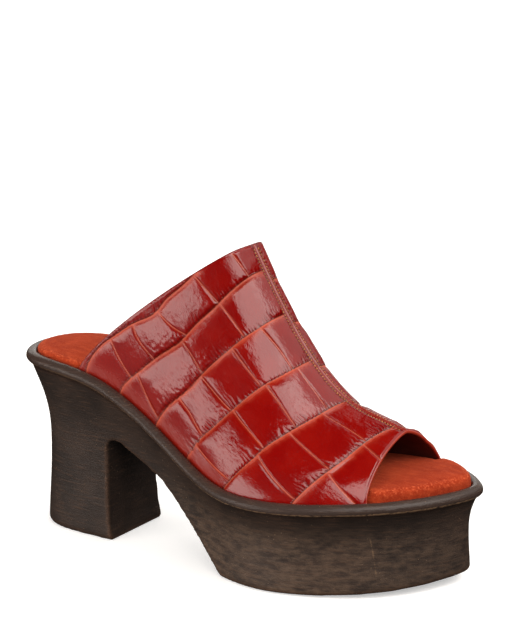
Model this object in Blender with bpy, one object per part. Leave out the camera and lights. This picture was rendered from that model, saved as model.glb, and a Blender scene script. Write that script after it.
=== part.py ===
"""Platform mule, one right shoe, in metres: +X to the toe, +Y to the inner side, +Z up.

Three pieces follow one outline, the outer line of the bead round the top of the sole unit:
the moulded sole unit, the padded insole inside the bead, and the open-toed upper.
"""
import bmesh
import bpy
import numpy as np
from mathutils import Vector

# Driving dimensions
LENGTH = 0.240
BALL_WIDTH = 0.096
HEEL_HEIGHT = 0.0884
BALL_HEIGHT = 0.0449
TOE_SPRING = 0.0057
SPRING_START = 0.150
WALL_INSET = 0.010
BEAD_WIDTH = 0.0056
BEAD_HEIGHT = 0.0049
SEAT_DEPTH = 0.0030
EDGE_ROUND = 0.0012

# The gap under the shank, between the breast of the heel and the platform
BREAST_ALONG = 0.0575
BREAST_FLARE = 0.0027
ARCH_CLEAR = 0.0510
TREAD_SKEW = 0.0096
TREAD_BOW = 0.0060
CUTTER_HALF_WIDTH = 0.0595

# The padded insole
INSOLE_RISE = 0.0052
INSOLE_CROWN = 0.0012
INSOLE_ROUND = 0.0034

# The upper
UPPER_WALL = 0.0018
UPPER_RISE = 0.1045
SEAM_STEP = 0.0006
SEAM_HALF_WIDTH = 0.0030
SEAM_TOP_HALF_WIDTH = 0.0012
CLEARANCE = 0.0003
SIDE_CLEARANCE = 0.0008
RAMP = 0.0016

# Points round the outline: shares of the length and of the ball width, and the inset of
# the tread as a share of WALL_INSET
OUTLINE = (
    # name, along, across, inset
    ("heel back", 0.0000, 0.0000, 1.00),
    ("heel outer", 0.0346, -0.2208, 0.99),
    ("heel side outer", 0.1360, -0.3302, 0.92),
    ("waist outer", 0.3554, -0.3563, 0.77),
    ("joint outer", 0.4950, -0.4469, 0.74),
    ("ball outer", 0.6496, -0.5740, 0.85),
    ("small toe", 0.8308, -0.4448, 0.72),
    ("toe outer", 0.9421, -0.1865, 0.56),
    ("toe tip", 0.9983, 0.1469, 0.56),
    ("toe inner", 0.9746, 0.2781, 0.52),
    ("big toe", 0.8975, 0.4208, 0.59),
    ("ball inner", 0.7158, 0.4250, 0.76),
    ("joint inner", 0.5338, 0.3604, 0.86),
    ("waist inner", 0.3500, 0.2917, 0.91),
    ("heel side inner", 0.1360, 0.3302, 0.92),
    ("heel inner", 0.0346, 0.2208, 0.96),
)

# The top of the bead from heel to toe: its rise as a share of the step from ball to heel,
# its lift as a share of TOE_SPRING, and the height of the insole's edge over it as a share
# of INSOLE_RISE
RISE = (
    # along, rise, lift, insole
    (0.000, 1.000, 0.00, 0.50),
    (0.125, 0.975, 0.00, 0.50),
    (0.250, 0.832, 0.00, 0.55),
    (0.375, 0.451, 0.00, 0.70),
    (0.500, 0.090, 0.00, 0.90),
    (0.625, 0.000, 0.00, 1.00),
    (0.750, 0.000, 0.05, 1.00),
    (0.875, 0.000, 0.24, 1.00),
    (1.000, 0.000, 0.26, 1.00),
)

# The bead's round section: inset as a share of BEAD_WIDTH, height as a share of BEAD_HEIGHT
BEAD = (
    # inset, height
    (1.00, 0.00),
    (0.80, 0.11),
    (0.55, 0.13),
    (0.27, 0.02),
    (0.08, -0.22),
    (0.00, -0.50),
    (0.07, -0.78),
    (0.27, -1.00),
)

# The hollowed wall below the bead: share of the way down, share of the tread's inset
WALL = (
    # down, inset
    (0.05, 0.24),
    (0.10, 0.40),
    (0.19, 0.71),
    (0.29, 0.98),
    (0.40, 1.14),
    (0.53, 1.18),
    (0.70, 1.14),
    (0.87, 1.05),
    (0.975, 1.00),
)

# The insole's soft edge from its top face down: shares of INSOLE_ROUND inward and down
INSOLE_EDGE = (
    # inward, down
    (1.00, 0.00),
    (0.40, 0.18),
    (0.10, 0.55),
    (0.00, 1.00),
)

# The breast of the heel from below the floor up: shares of BREAST_FLARE and of ARCH_CLEAR
BREAST = (
    # flare, height
    (1.30, -0.10),
    (1.00, 0.00),
    (0.42, 0.16),
    (0.10, 0.36),
    (0.00, 0.60),
)

# The underside from the top of the breast to the floor: shares of the length and of
# ARCH_CLEAR
ARCH = (
    # along, height
    (0.2400, 0.900),
    (0.2415, 0.950),
    (0.2467, 0.985),
    (0.2600, 1.000),
    (0.2754, 0.992),
    (0.2930, 0.941),
    (0.3132, 0.892),
    (0.3310, 0.843),
    (0.3518, 0.792),
    (0.3790, 0.718),
    (0.4070, 0.608),
    (0.4370, 0.484),
    (0.4680, 0.359),
    (0.5007, 0.231),
    (0.5323, 0.108),
    (0.5473, 0.049),
    (0.5584, 0.000),
)

# Sections of the upper from throat to toe. Feet and ridge are shares of the length, the
# ridge's offset is a share of BALL_WIDTH and its height a share of UPPER_RISE. Lean bows
# the section back, side and top are the powers of its outline (1 is an ellipse).
SECTIONS = (
    # outer foot, inner foot, ridge along, across, height, lean, outer side, inner side, top
    (0.185, 0.185, 0.516, 0.052, 1.000, 1.25, 0.42, 0.42, 0.97),
    (0.300, 0.305, 0.558, 0.056, 0.822, 1.20, 0.52, 0.40, 1.00),
    (0.425, 0.430, 0.604, 0.062, 0.644, 1.12, 0.66, 0.42, 1.06),
    (0.545, 0.548, 0.656, 0.068, 0.480, 1.06, 0.84, 0.62, 1.14),
    (0.655, 0.665, 0.716, 0.074, 0.352, 1.02, 1.02, 1.00, 1.22),
    (0.765, 0.775, 0.783, 0.080, 0.284, 1.00, 1.18, 1.33, 1.28),
    (0.868, 0.878, 0.849, 0.085, 0.240, 1.00, 1.33, 1.33, 1.33),
)

# Fineness of the lofts
SIDE_STATIONS = 48
OUTLINE_SAMPLES = 2400
EXTRA_REACH = 0.0012
SHANK_COLUMNS = 10
INSOLE_COLUMNS = 6
SECTION_ROWS = 22
SECTION_COLUMNS = 15
COLUMN_CROWDING = 0.8
SMOOTH_DEGREES = 35.0

COLOURS = {
    # name: colour, roughness
    "dark brown rubber": ((0.045, 0.032, 0.026, 1.0), 0.45),
    "orange suede": ((0.45, 0.085, 0.03, 1.0), 0.95),
    "red embossed leather": ((0.30, 0.012, 0.006, 1.0), 0.18),
}


def spline_slopes(knots, values, closed):
    """Slopes of the smooth curve through the values at the knots."""
    count = len(knots)
    gaps = np.diff(knots)
    secants = np.diff(values) / gaps
    system = np.zeros((count, count))
    target = np.zeros(count)
    for i in range(1, count - 1):
        system[i, i - 1] = gaps[i]
        system[i, i] = 2.0 * (gaps[i - 1] + gaps[i])
        system[i, i + 1] = gaps[i - 1]
        target[i] = 3.0 * (gaps[i] * secants[i - 1] + gaps[i - 1] * secants[i])
    if closed:
        system[0, 0] = 1.0
        system[0, -1] = -1.0
        system[-1, 0] = 2.0 * gaps[-1]
        system[-1, 1] = gaps[-1]
        system[-1, -1] = 2.0 * gaps[0]
        system[-1, -2] = gaps[0]
        target[-1] = 3.0 * (gaps[0] * secants[-1] + gaps[-1] * secants[0])
    else:
        system[0, :2] = (2.0, 1.0)
        target[0] = 3.0 * secants[0]
        system[-1, -2:] = (1.0, 2.0)
        target[-1] = 3.0 * secants[-1]
    return np.linalg.solve(system, target)


def spline(knots, values, places, closed=False):
    """A smooth curve through the values, read at the places."""
    knots = np.asarray(knots, float)
    values = np.asarray(values, float)
    slopes = spline_slopes(knots, values, closed)
    cell = np.clip(np.searchsorted(knots, places, side="right") - 1, 0, len(knots) - 2)
    gap = knots[cell + 1] - knots[cell]
    share = np.clip((places - knots[cell]) / gap, 0.0, 1.0)
    start = (1.0 + 2.0 * share) * (1.0 - share) ** 2
    end = share ** 2 * (3.0 - 2.0 * share)
    leave = share * (1.0 - share) ** 2 * gap
    arrive = share ** 2 * (share - 1.0) * gap
    return (start * values[cell] + end * values[cell + 1]
            + leave * slopes[cell] + arrive * slopes[cell + 1])


def smooth_step(places, start, end):
    """0 before the start, 1 after the end and smooth between them."""
    share = np.clip((places - start) / (end - start), 0.0, 1.0)
    return share * share * (3.0 - 2.0 * share)


def outline_line():
    """Points, outward normals and tread insets, closely spaced round the outline."""
    table = np.array([row[1:] for row in OUTLINE])
    table = np.vstack((table, table[:1]))
    points = table[:, :2] * (LENGTH, BALL_WIDTH)
    steps = np.sqrt(np.linalg.norm(np.diff(points, axis=0), axis=1))
    knots = np.concatenate(((0.0,), np.cumsum(steps)))
    places = np.linspace(0.0, knots[-1], OUTLINE_SAMPLES, endpoint=False)
    x, y, inset = (spline(knots, column, places, closed=True)
                   for column in (points[:, 0], points[:, 1], table[:, 2]))
    tangent = np.stack((np.roll(x, -1) - np.roll(x, 1), np.roll(y, -1) - np.roll(y, 1)), 1)
    tangent /= np.linalg.norm(tangent, axis=1)[:, None]
    normal = np.stack((tangent[:, 1], -tangent[:, 0]), 1)
    return np.stack((x, y), 1), normal, inset * WALL_INSET


def outline_sides():
    """The outline's outer and inner side, each from heel to toe with rising x."""
    points, normals, insets = outline_line()
    rows = np.column_stack((points, normals, insets))
    heel = int(np.argmin(points[:, 0]))
    rows = np.roll(rows, -heel, axis=0)
    toe = int(np.argmax(rows[:, 0]))
    outer = rows[:toe + 1]
    inner = np.vstack((rows[toe:], rows[:1]))[::-1]
    return outer, inner


OUTER_SIDE, INNER_SIDE = outline_sides()


def read_side(side, x):
    """Point, outward normal and tread inset of one side at the given x."""
    return np.stack([np.interp(x, side[:, 0], side[:, k]) for k in range(side.shape[1])], 1)


def ring_stations(extra=()):
    """The outline as a ring: the outer side from heel to toe, then the inner side back.

    Extra stations take the place of the regular ones near them.
    """
    heel = OUTER_SIDE[0, 0]
    toe = OUTER_SIDE[-1, 0]
    turn = np.linspace(0.0, np.pi, SIDE_STATIONS + 1)
    x = heel + (toe - heel) * (1.0 - np.cos(turn)) / 2.0
    if len(extra):
        spare = np.abs(x[:, None] - np.array(extra)).min(axis=1) > EXTRA_REACH
        x = np.sort(np.concatenate((x[spare], extra)))
    outer = read_side(OUTER_SIDE, x)
    inner = read_side(INNER_SIDE, x)
    return np.vstack((outer, inner[-2:0:-1]))


def bead_height(x):
    """Height of the bead's inner edge above the floor."""
    table = np.array(RISE)
    share = np.clip(x / LENGTH, 0.0, 1.0)
    rise = spline(table[:, 0], table[:, 1], share)
    lift = spline(table[:, 0], table[:, 2], share)
    return BALL_HEIGHT + (HEEL_HEIGHT - BALL_HEIGHT) * rise + TOE_SPRING * lift


def insole_rise(x):
    """Height of the insole's edge over the bead."""
    table = np.array(RISE)
    return INSOLE_RISE * spline(table[:, 0], table[:, 3], np.clip(x / LENGTH, 0.0, 1.0))


def tread_height(x):
    """Height of the tread above the floor: flat, then sprung up under the toe."""
    share = np.clip((x - SPRING_START) / (LENGTH - SPRING_START), 0.0, 1.0)
    return TOE_SPRING * share ** 2


def move_in(stations, inset):
    """The stations' points moved inward from the outline."""
    return stations[:, :2] - stations[:, 2:4] * np.reshape(inset, (-1, 1))


def bead_ring(stations, inset, rise):
    """A ring inside the outline, at some height over or under the bead's inner edge."""
    flat = move_in(stations, inset)
    return np.column_stack((flat, bead_height(flat[:, 0]) + rise))


def wall_ring(stations, inset, down):
    """A ring of the hollowed wall, some share of the way down from the bead to the tread."""
    flat = move_in(stations, inset)
    top = bead_height(flat[:, 0])
    height = top + (tread_height(flat[:, 0]) - top) * down
    return np.column_stack((flat, height))


def add_ring(mesh, ring):
    """New vertices for one ring."""
    return [mesh.verts.new(point) for point in ring]


def bridge(mesh, first, second, closed=True):
    """Quads between two rows of vertices, facing out where the rows run down and round."""
    count = len(first)
    for i in range(count if closed else count - 1):
        j = (i + 1) % count
        mesh.faces.new((first[i], second[i], second[j], first[j]))


def cap(mesh, ring, columns, crown, facing_up):
    """Closes a ring with rungs from its outer to its inner side, crowned in the middle."""
    half = len(ring) // 2
    rungs = [[ring[0]]]
    for i in range(1, half):
        outer = ring[i]
        inner = ring[-i]
        rung = [outer]
        for k in range(1, columns):
            share = k / columns
            point = outer.co.lerp(inner.co, share)
            width = (outer.co - inner.co).length
            lift = crown * (1.0 - (2.0 * share - 1.0) ** 2) * min(1.0, width / (BALL_WIDTH / 2.0))
            rung.append(mesh.verts.new(point + Vector((0.0, 0.0, lift))))
        rung.append(inner)
        rungs.append(rung)
    rungs.append([ring[half]])
    for near, far in zip(rungs[:-1], rungs[1:]):
        for k in range(columns):
            corners = [near[min(k, len(near) - 1)], far[min(k, len(far) - 1)],
                       far[min(k + 1, len(far) - 1)], near[min(k + 1, len(near) - 1)]]
            corners = list(dict.fromkeys(corners))
            if not facing_up:
                corners.reverse()
            mesh.faces.new(corners)


def make_object(name, mesh, collection, material=None):
    """An object in a collection from a bmesh, smooth but for its edges."""
    data = bpy.data.meshes.new(name)
    bmesh.ops.recalc_face_normals(mesh, faces=mesh.faces)
    mesh.to_mesh(data)
    mesh.free()
    piece = bpy.data.objects.new(name, data)
    collection.objects.link(piece)
    if material:
        data.materials.append(material)
    data.shade_smooth()
    data.set_sharp_from_angle(angle=np.radians(SMOOTH_DEGREES))
    return piece


def make_material(name):
    """A Principled material in the piece's colour."""
    colour, roughness = COLOURS[name]
    material = bpy.data.materials.new(name)
    material.use_nodes = True
    shader = material.node_tree.nodes["Principled BSDF"]
    shader.inputs["Base Color"].default_value = colour
    shader.inputs["Roughness"].default_value = roughness
    shader.inputs["Metallic"].default_value = 0.0
    return material


def shank_side(y):
    """The side view of the gap under the shank at one place across the shoe."""
    breast = [(BREAST_ALONG + flare * BREAST_FLARE, height) for flare, height in BREAST]
    arch = []
    for along, height in ARCH:
        slant = TREAD_SKEW * y / BALL_WIDTH * (1.0 - height)
        bow = TREAD_BOW * (2.0 * y / BALL_WIDTH) ** 4 * (1.0 - height) ** 2
        arch.append((along * LENGTH + slant + bow, height))
    floor = (arch[-1][0], BREAST[0][1])
    return [(x, y, height * ARCH_CLEAR) for x, height in breast + arch + [floor]]


def shank_gap(collection):
    """The cutter under the shank: the gap's side view carried across the shoe."""
    mesh = bmesh.new()
    sides = []
    for y in np.linspace(-CUTTER_HALF_WIDTH, CUTTER_HALF_WIDTH, SHANK_COLUMNS + 1):
        sides.append([mesh.verts.new(point) for point in shank_side(y)])
    for near, far in zip(sides[:-1], sides[1:]):
        bridge(mesh, near, far)
    mesh.faces.new(sides[0])
    mesh.faces.new(list(reversed(sides[-1])))
    cutter = make_object("shank_gap", mesh, collection)
    cutter.hide_render = True
    cutter.display_type = "WIRE"
    return cutter


def make_sole_unit(collection, cutters):
    """Heel, shank, platform and bead in one moulded unit."""
    stations = ring_stations()
    tread_inset = stations[:, 4]
    rings = [bead_ring(stations, BEAD_WIDTH, -SEAT_DEPTH)]
    for inset, height in BEAD:
        rings.append(bead_ring(stations, inset * BEAD_WIDTH, height * BEAD_HEIGHT))
    for down, share in WALL:
        rings.append(wall_ring(stations, tread_inset * share, down))
    rings.append(wall_ring(stations, tread_inset + EDGE_ROUND, 1.0))
    mesh = bmesh.new()
    rows = [add_ring(mesh, ring) for ring in rings]
    for upper_row, lower_row in zip(rows[:-1], rows[1:]):
        bridge(mesh, upper_row, lower_row)
    cap(mesh, rows[0], 1, 0.0, True)
    cap(mesh, rows[-1], 1, 0.0, False)
    piece = make_object("sole_unit", mesh, collection, make_material("dark brown rubber"))
    cut = piece.modifiers.new("gap under the shank", "BOOLEAN")
    cut.operation = "DIFFERENCE"
    cut.solver = "EXACT"
    cut.object = shank_gap(cutters)
    return piece


def section_curve(row, turns):
    """Outer line of one section of the upper: outer foot at -1, ridge at 0, inner foot at 1."""
    outer_foot, inner_foot, along, across, height, lean, outer_side, inner_side, top = row
    foot_inset = BEAD_WIDTH + CLEARANCE
    feet = []
    for edge, share in ((OUTER_SIDE, outer_foot), (INNER_SIDE, inner_foot)):
        place = read_side(edge, np.array([share * LENGTH]))[0]
        flat = place[:2] - place[2:4] * foot_inset
        feet.append(np.array((flat[0], flat[1], bead_height(flat[:1])[0])))
    ridge = np.array((along * LENGTH, across * BALL_WIDTH, BALL_HEIGHT + height * UPPER_RISE))
    share = (ridge[1] - feet[0][1]) / (feet[1][1] - feet[0][1])
    base = feet[0] + (feet[1] - feet[0]) * share
    angle = (1.0 - np.abs(turns)) * np.pi / 2.0
    wide = np.cos(angle) ** np.where(turns < 0.0, outer_side, inner_side)
    rise = np.sin(angle) ** top
    foot = np.where(turns[:, None] < 0.0, feet[0], feet[1])
    climb = np.stack((rise ** lean, rise, rise), 1)
    return base + (foot - base) * wide[:, None] + climb * (ridge - base)


def upper_grid(rows, columns):
    """The outer surface of the upper as a grid of points, without its seam."""
    table = np.array(SECTIONS)
    knots = np.linspace(0.0, 1.0, len(table))
    places = np.linspace(0.0, 1.0, rows)
    spread = np.linspace(-1.0, 1.0, 2 * columns + 1)
    turns = np.sign(spread) * np.abs(spread) ** COLUMN_CROWDING
    filled = np.stack([spline(knots, column, places) for column in table.T], 1)
    return np.array([section_curve(row, turns) for row in filled])


def grid_normals(grid):
    """Outward unit normals of a grid of points."""
    along = np.gradient(grid, axis=0)
    across = np.gradient(grid, axis=1)
    normal = np.cross(along, across)
    return normal / np.linalg.norm(normal, axis=2)[:, :, None]


def add_seam(grid, normals):
    """Raises the band along the ridge where the two panels are sewn together."""
    middle = grid.shape[1] // 2
    reach = np.linalg.norm(grid - grid[:, middle:middle + 1], axis=2)
    near = 1.0 - smooth_step(reach, SEAM_TOP_HALF_WIDTH, SEAM_HALF_WIDTH)
    return grid + normals * (SEAM_STEP * near)[:, :, None]


def upper_faces():
    """The outer and inner face of the upper's wall as grids from throat to toe."""
    plain = upper_grid(SECTION_ROWS, SECTION_COLUMNS)
    normals = grid_normals(plain)
    return add_seam(plain, normals), plain - normals * UPPER_WALL


def tuck_feet(face):
    """Adds a row along each foot that reaches down between the bead and the insole."""
    feet = []
    for edge in (0, -1):
        foot = face[:, edge].copy()
        foot[:, 2] = bead_height(foot[:, 0]) - SEAT_DEPTH + CLEARANCE
        feet.append(foot[:, None])
    return np.concatenate((feet[0], face, feet[1]), axis=1)


def make_upper(collection, outside, inside):
    """The open-toed shell: one wall between its outer and inner face."""
    mesh = bmesh.new()
    outer, inner = ([add_ring(mesh, row) for row in tuck_feet(face)] for face in (outside, inside))
    for sheet in (outer, inner):
        for near, far in zip(sheet[:-1], sheet[1:]):
            bridge(mesh, near, far, closed=False)
    for edge in (0, -1):
        bridge(mesh, outer[edge], inner[edge], closed=False)
        bridge(mesh, [row[edge] for row in outer], [row[edge] for row in inner], closed=False)
    return make_object("upper", mesh, collection, make_material("red embossed leather"))


def insole_ramps():
    """Where the insole's edge steps in behind the upper, from heel to toe on each side."""
    ramps = []
    for back_share, front_share in zip(SECTIONS[0][:2], SECTIONS[-1][:2]):
        back = back_share * LENGTH
        front = front_share * LENGTH
        ramps.append((back - 2.0 * RAMP, back - RAMP, front + RAMP, front + 2.0 * RAMP))
    return ramps


def lining_inset(rows, side, share):
    """Inset of the upper's inner face along one side, some share up the insole's edge."""
    places = []
    for row in rows:
        edge = read_side(side, row[:, 0])
        inset = np.sum((edge[:, :2] - row[:, :2]) * edge[:, 2:4], axis=1)
        height = (row[:, 2] - bead_height(row[:, 0])) / insole_rise(row[:, 0])
        places.append((np.interp(share, height, row[:, 0]), np.interp(share, height, inset)))
    return np.array(places).T


def insole_inset(stations, inside, share):
    """Inset of the insole's edge: to the bead, and clear of the upper where that stands."""
    x = stations[:, 0]
    inset = np.full(len(x), BEAD_WIDTH + CLEARANCE)
    outer_rows = inside[:, :SECTION_COLUMNS]
    inner_rows = inside[:, :-SECTION_COLUMNS - 1:-1]
    halves = ((-1.0, OUTER_SIDE, outer_rows), (1.0, INNER_SIDE, inner_rows))
    for (way, side, rows), places in zip(halves, insole_ramps()):
        covered = smooth_step(x, *places[:2]) * (1.0 - smooth_step(x, *places[2:]))
        behind = np.interp(x, *lining_inset(rows, side, share)) + SIDE_CLEARANCE
        stepped = inset + covered * (np.maximum(behind, inset) - inset)
        inset = np.where(stations[:, 3] * way > 0.0, stepped, inset)
    return inset


def make_insole(collection, inside):
    """The padded footbed, soft at its edge and a little crowned."""
    stations = ring_stations(np.unique(insole_ramps()))
    mesh = bmesh.new()
    rows = []
    for inward, drop in INSOLE_EDGE:
        share = 1.0 - drop * INSOLE_ROUND / INSOLE_RISE
        inset = insole_inset(stations, inside, share) + inward * INSOLE_ROUND
        rise = share * insole_rise(move_in(stations, inset)[:, 0])
        rows.append(add_ring(mesh, bead_ring(stations, inset, rise)))
    foot = insole_inset(stations, inside, 0.0)
    rows.append(add_ring(mesh, bead_ring(stations, foot, 0.0)))
    rows.append(add_ring(mesh, bead_ring(stations, foot, CLEARANCE - SEAT_DEPTH)))
    for upper_row, lower_row in zip(rows[:-1], rows[1:]):
        bridge(mesh, upper_row, lower_row)
    cap(mesh, rows[0], INSOLE_COLUMNS, INSOLE_CROWN, True)
    cap(mesh, rows[-1], 1, 0.0, False)
    return make_object("insole", mesh, collection, make_material("orange suede"))


def clear_scene():
    """Removes whatever the file held."""
    for piece in list(bpy.data.objects):
        bpy.data.objects.remove(piece, do_unlink=True)


def make_collection(name):
    """A collection in the scene."""
    collection = bpy.data.collections.new(name)
    bpy.context.scene.collection.children.link(collection)
    return collection


def centre(pieces):
    """Moves the pieces so that the floor point under the middle of the shoe is the origin."""
    sides = np.vstack((OUTER_SIDE, INNER_SIDE))
    middle = (sides[:, :2].min(axis=0) + sides[:, :2].max(axis=0)) / 2.0
    for piece in pieces:
        piece.location = (-middle[0], -middle[1], 0.0)


def main():
    clear_scene()
    parts = make_collection("platform mule")
    cutters = make_collection("cutters")
    outside, inside = upper_faces()
    pieces = [make_sole_unit(parts, cutters), make_insole(parts, inside)]
    pieces.append(make_upper(parts, outside, inside))
    centre(pieces + list(cutters.objects))


main()
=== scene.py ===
"""Platform mule in embossed leather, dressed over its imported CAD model.

The shoe's own functions come first: the outline of the bead, the heights along it and the
sections of the upper. Every piece is shaped on them, heel at x = 0 and toe forward, and is
moved to the CAD model's frame when its mesh is made.
"""

from types import SimpleNamespace

import bmesh
import bpy
import numpy as np
from mathutils import Matrix


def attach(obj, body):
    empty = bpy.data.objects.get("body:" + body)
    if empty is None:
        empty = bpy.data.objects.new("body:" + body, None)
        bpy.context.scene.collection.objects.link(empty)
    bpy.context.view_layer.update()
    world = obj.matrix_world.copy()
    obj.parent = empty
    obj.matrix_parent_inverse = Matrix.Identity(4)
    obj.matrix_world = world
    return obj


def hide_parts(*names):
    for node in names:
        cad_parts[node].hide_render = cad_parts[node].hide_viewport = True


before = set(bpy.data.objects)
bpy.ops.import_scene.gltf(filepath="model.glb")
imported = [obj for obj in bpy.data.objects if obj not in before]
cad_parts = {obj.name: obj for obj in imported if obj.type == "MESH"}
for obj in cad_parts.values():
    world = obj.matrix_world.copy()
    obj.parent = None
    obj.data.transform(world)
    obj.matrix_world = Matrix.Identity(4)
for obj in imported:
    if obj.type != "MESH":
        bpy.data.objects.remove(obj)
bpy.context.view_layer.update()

MM = 0.001

# Sizes of the shoe
LENGTH = 0.240
BALL_WIDTH = 0.096
HEEL_HEIGHT = 0.0884
BALL_HEIGHT = 0.0449
TOE_SPRING = 0.0057
SPRING_START = 0.150
WALL_INSET = 0.010
BEAD_WIDTH = 0.0056
BEAD_HEIGHT = 0.0049
SEAT_DEPTH = 0.0030
EDGE_ROUND = 0.0012
BREAST_ALONG = 0.0575
BREAST_FLARE = 0.0027
ARCH_CLEAR = 0.0510
TREAD_SKEW = 0.0096
TREAD_BOW = 0.0060
CUTTER_HALF_WIDTH = 0.0595
INSOLE_RISE = 0.0052
INSOLE_CROWN = 0.0012
INSOLE_ROUND = 0.0034
UPPER_WALL = 0.0018
UPPER_RISE = 0.1045
CLEARANCE = 0.0003
SIDE_CLEARANCE = 0.0008
RAMP = 0.0016

# Points round the outline: along as a share of the length, across as a share of the ball
# width, and the inset of the tread as a share of WALL_INSET
OUTLINE = (
    (0.0000, 0.0000, 1.00), (0.0346, -0.2208, 0.99), (0.1360, -0.3302, 0.92),
    (0.3554, -0.3563, 0.77), (0.4950, -0.4469, 0.74), (0.6496, -0.5740, 0.85),
    (0.8308, -0.4448, 0.72), (0.9421, -0.1865, 0.56), (0.9983, 0.1469, 0.56),
    (0.9746, 0.2781, 0.52), (0.8975, 0.4208, 0.59), (0.7158, 0.4250, 0.76),
    (0.5338, 0.3604, 0.86), (0.3500, 0.2917, 0.91), (0.1360, 0.3302, 0.92),
    (0.0346, 0.2208, 0.96),
)

# Along, rise of the bead, its lift at the toe and the height of the insole over it
RISE = (
    (0.000, 1.000, 0.00, 0.50), (0.125, 0.975, 0.00, 0.50), (0.250, 0.832, 0.00, 0.55),
    (0.375, 0.451, 0.00, 0.70), (0.500, 0.090, 0.00, 0.90), (0.625, 0.000, 0.00, 1.00),
    (0.750, 0.000, 0.05, 1.00), (0.875, 0.000, 0.24, 1.00), (1.000, 0.000, 0.26, 1.00),
)

# The bead's section: inset as a share of its width, height as a share of its height
BEAD = (
    (1.00, 0.00), (0.80, 0.11), (0.55, 0.13), (0.27, 0.02),
    (0.08, -0.22), (0.00, -0.50), (0.07, -0.78), (0.27, -1.00),
)

# The hollowed wall: share of the way down, share of the tread's inset
WALL = (
    (0.05, 0.24), (0.10, 0.40), (0.19, 0.71), (0.29, 0.98), (0.40, 1.14),
    (0.53, 1.18), (0.70, 1.14), (0.87, 1.05), (0.975, 1.00),
)

# The insole's soft edge from its top face down
INSOLE_EDGE = (
    (1.00, 0.00), (0.66, 0.07), (0.40, 0.18), (0.20, 0.34), (0.10, 0.55), (0.03, 0.78), (0.00, 1.00),
)

# The breast of the heel and the underside of the shank
BREAST = ((1.30, -0.10), (1.00, 0.00), (0.42, 0.16), (0.10, 0.36), (0.00, 0.60))
ARCH = (
    (0.2400, 0.900), (0.2415, 0.950), (0.2467, 0.985), (0.2600, 1.000), (0.2754, 0.992),
    (0.2930, 0.941), (0.3132, 0.892), (0.3310, 0.843), (0.3518, 0.792), (0.3790, 0.718),
    (0.4070, 0.608), (0.4370, 0.484), (0.4680, 0.359), (0.5007, 0.231), (0.5323, 0.108),
    (0.5473, 0.049), (0.5584, 0.000),
)

# Sections of the upper: outer foot, inner foot, ridge along, across, height, lean, powers of
# the outer side, the inner side and the top
SECTIONS = (
    (0.185, 0.185, 0.516, 0.052, 1.000, 1.25, 0.42, 0.42, 0.97),
    (0.300, 0.305, 0.558, 0.056, 0.822, 1.20, 0.52, 0.40, 1.00),
    (0.425, 0.430, 0.604, 0.062, 0.644, 1.12, 0.66, 0.42, 1.06),
    (0.545, 0.548, 0.656, 0.068, 0.480, 1.06, 0.84, 0.62, 1.14),
    (0.655, 0.665, 0.716, 0.074, 0.352, 1.02, 1.02, 1.00, 1.22),
    (0.765, 0.775, 0.783, 0.080, 0.284, 1.00, 1.18, 1.33, 1.28),
    (0.868, 0.878, 0.849, 0.085, 0.240, 1.00, 1.33, 1.33, 1.33),
)

# Grooves between the rows of scales, from the foot of the upper to its ridge. The first
# number is the share of the way from throat to toe, the second the share of the girth from
# the ridge down to the foot.
ROW_GROOVES = (
    ((0.025, 1.00), (0.014, 0.940), (0.009, 0.879), (0.009, 0.831), (0.012, 0.798), (0.017, 0.742),
     (0.021, 0.685), (0.030, 0.639), (0.039, 0.593), (0.036, 0.542), (0.023, 0.489), (0.014, 0.399),
     (0.005, 0.341), (-0.002, 0.300)),
    ((0.146, 1.00), (0.145, 0.954), (0.147, 0.907), (0.152, 0.838), (0.155, 0.754), (0.160, 0.671),
     (0.165, 0.581), (0.157, 0.501), (0.149, 0.431), (0.140, 0.335), (0.128, 0.268), (0.114, 0.181),
     (0.107, 0.122), (0.102, 0.00)),
    ((0.263, 1.00), (0.262, 0.896), (0.267, 0.813), (0.274, 0.706), (0.273, 0.620), (0.273, 0.527),
     (0.275, 0.403), (0.277, 0.302), (0.282, 0.201), (0.282, 0.092), (0.281, 0.00)),
    ((0.370, 1.00), (0.379, 0.832), (0.387, 0.773), (0.397, 0.683), (0.408, 0.588), (0.421, 0.484),
     (0.434, 0.399), (0.456, 0.291), (0.472, 0.136), (0.475, 0.00)),
    ((0.528, 1.00), (0.556, 0.856), (0.582, 0.749), (0.596, 0.673), (0.620, 0.583), (0.645, 0.473),
     (0.669, 0.334), (0.678, 0.219), (0.686, 0.087), (0.690, 0.00)),
    ((0.790, 1.00), (0.823, 0.861), (0.858, 0.711), (0.883, 0.586), (0.903, 0.401), (0.919, 0.251),
     (0.940, 0.080), (0.952, 0.00)),
)

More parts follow.
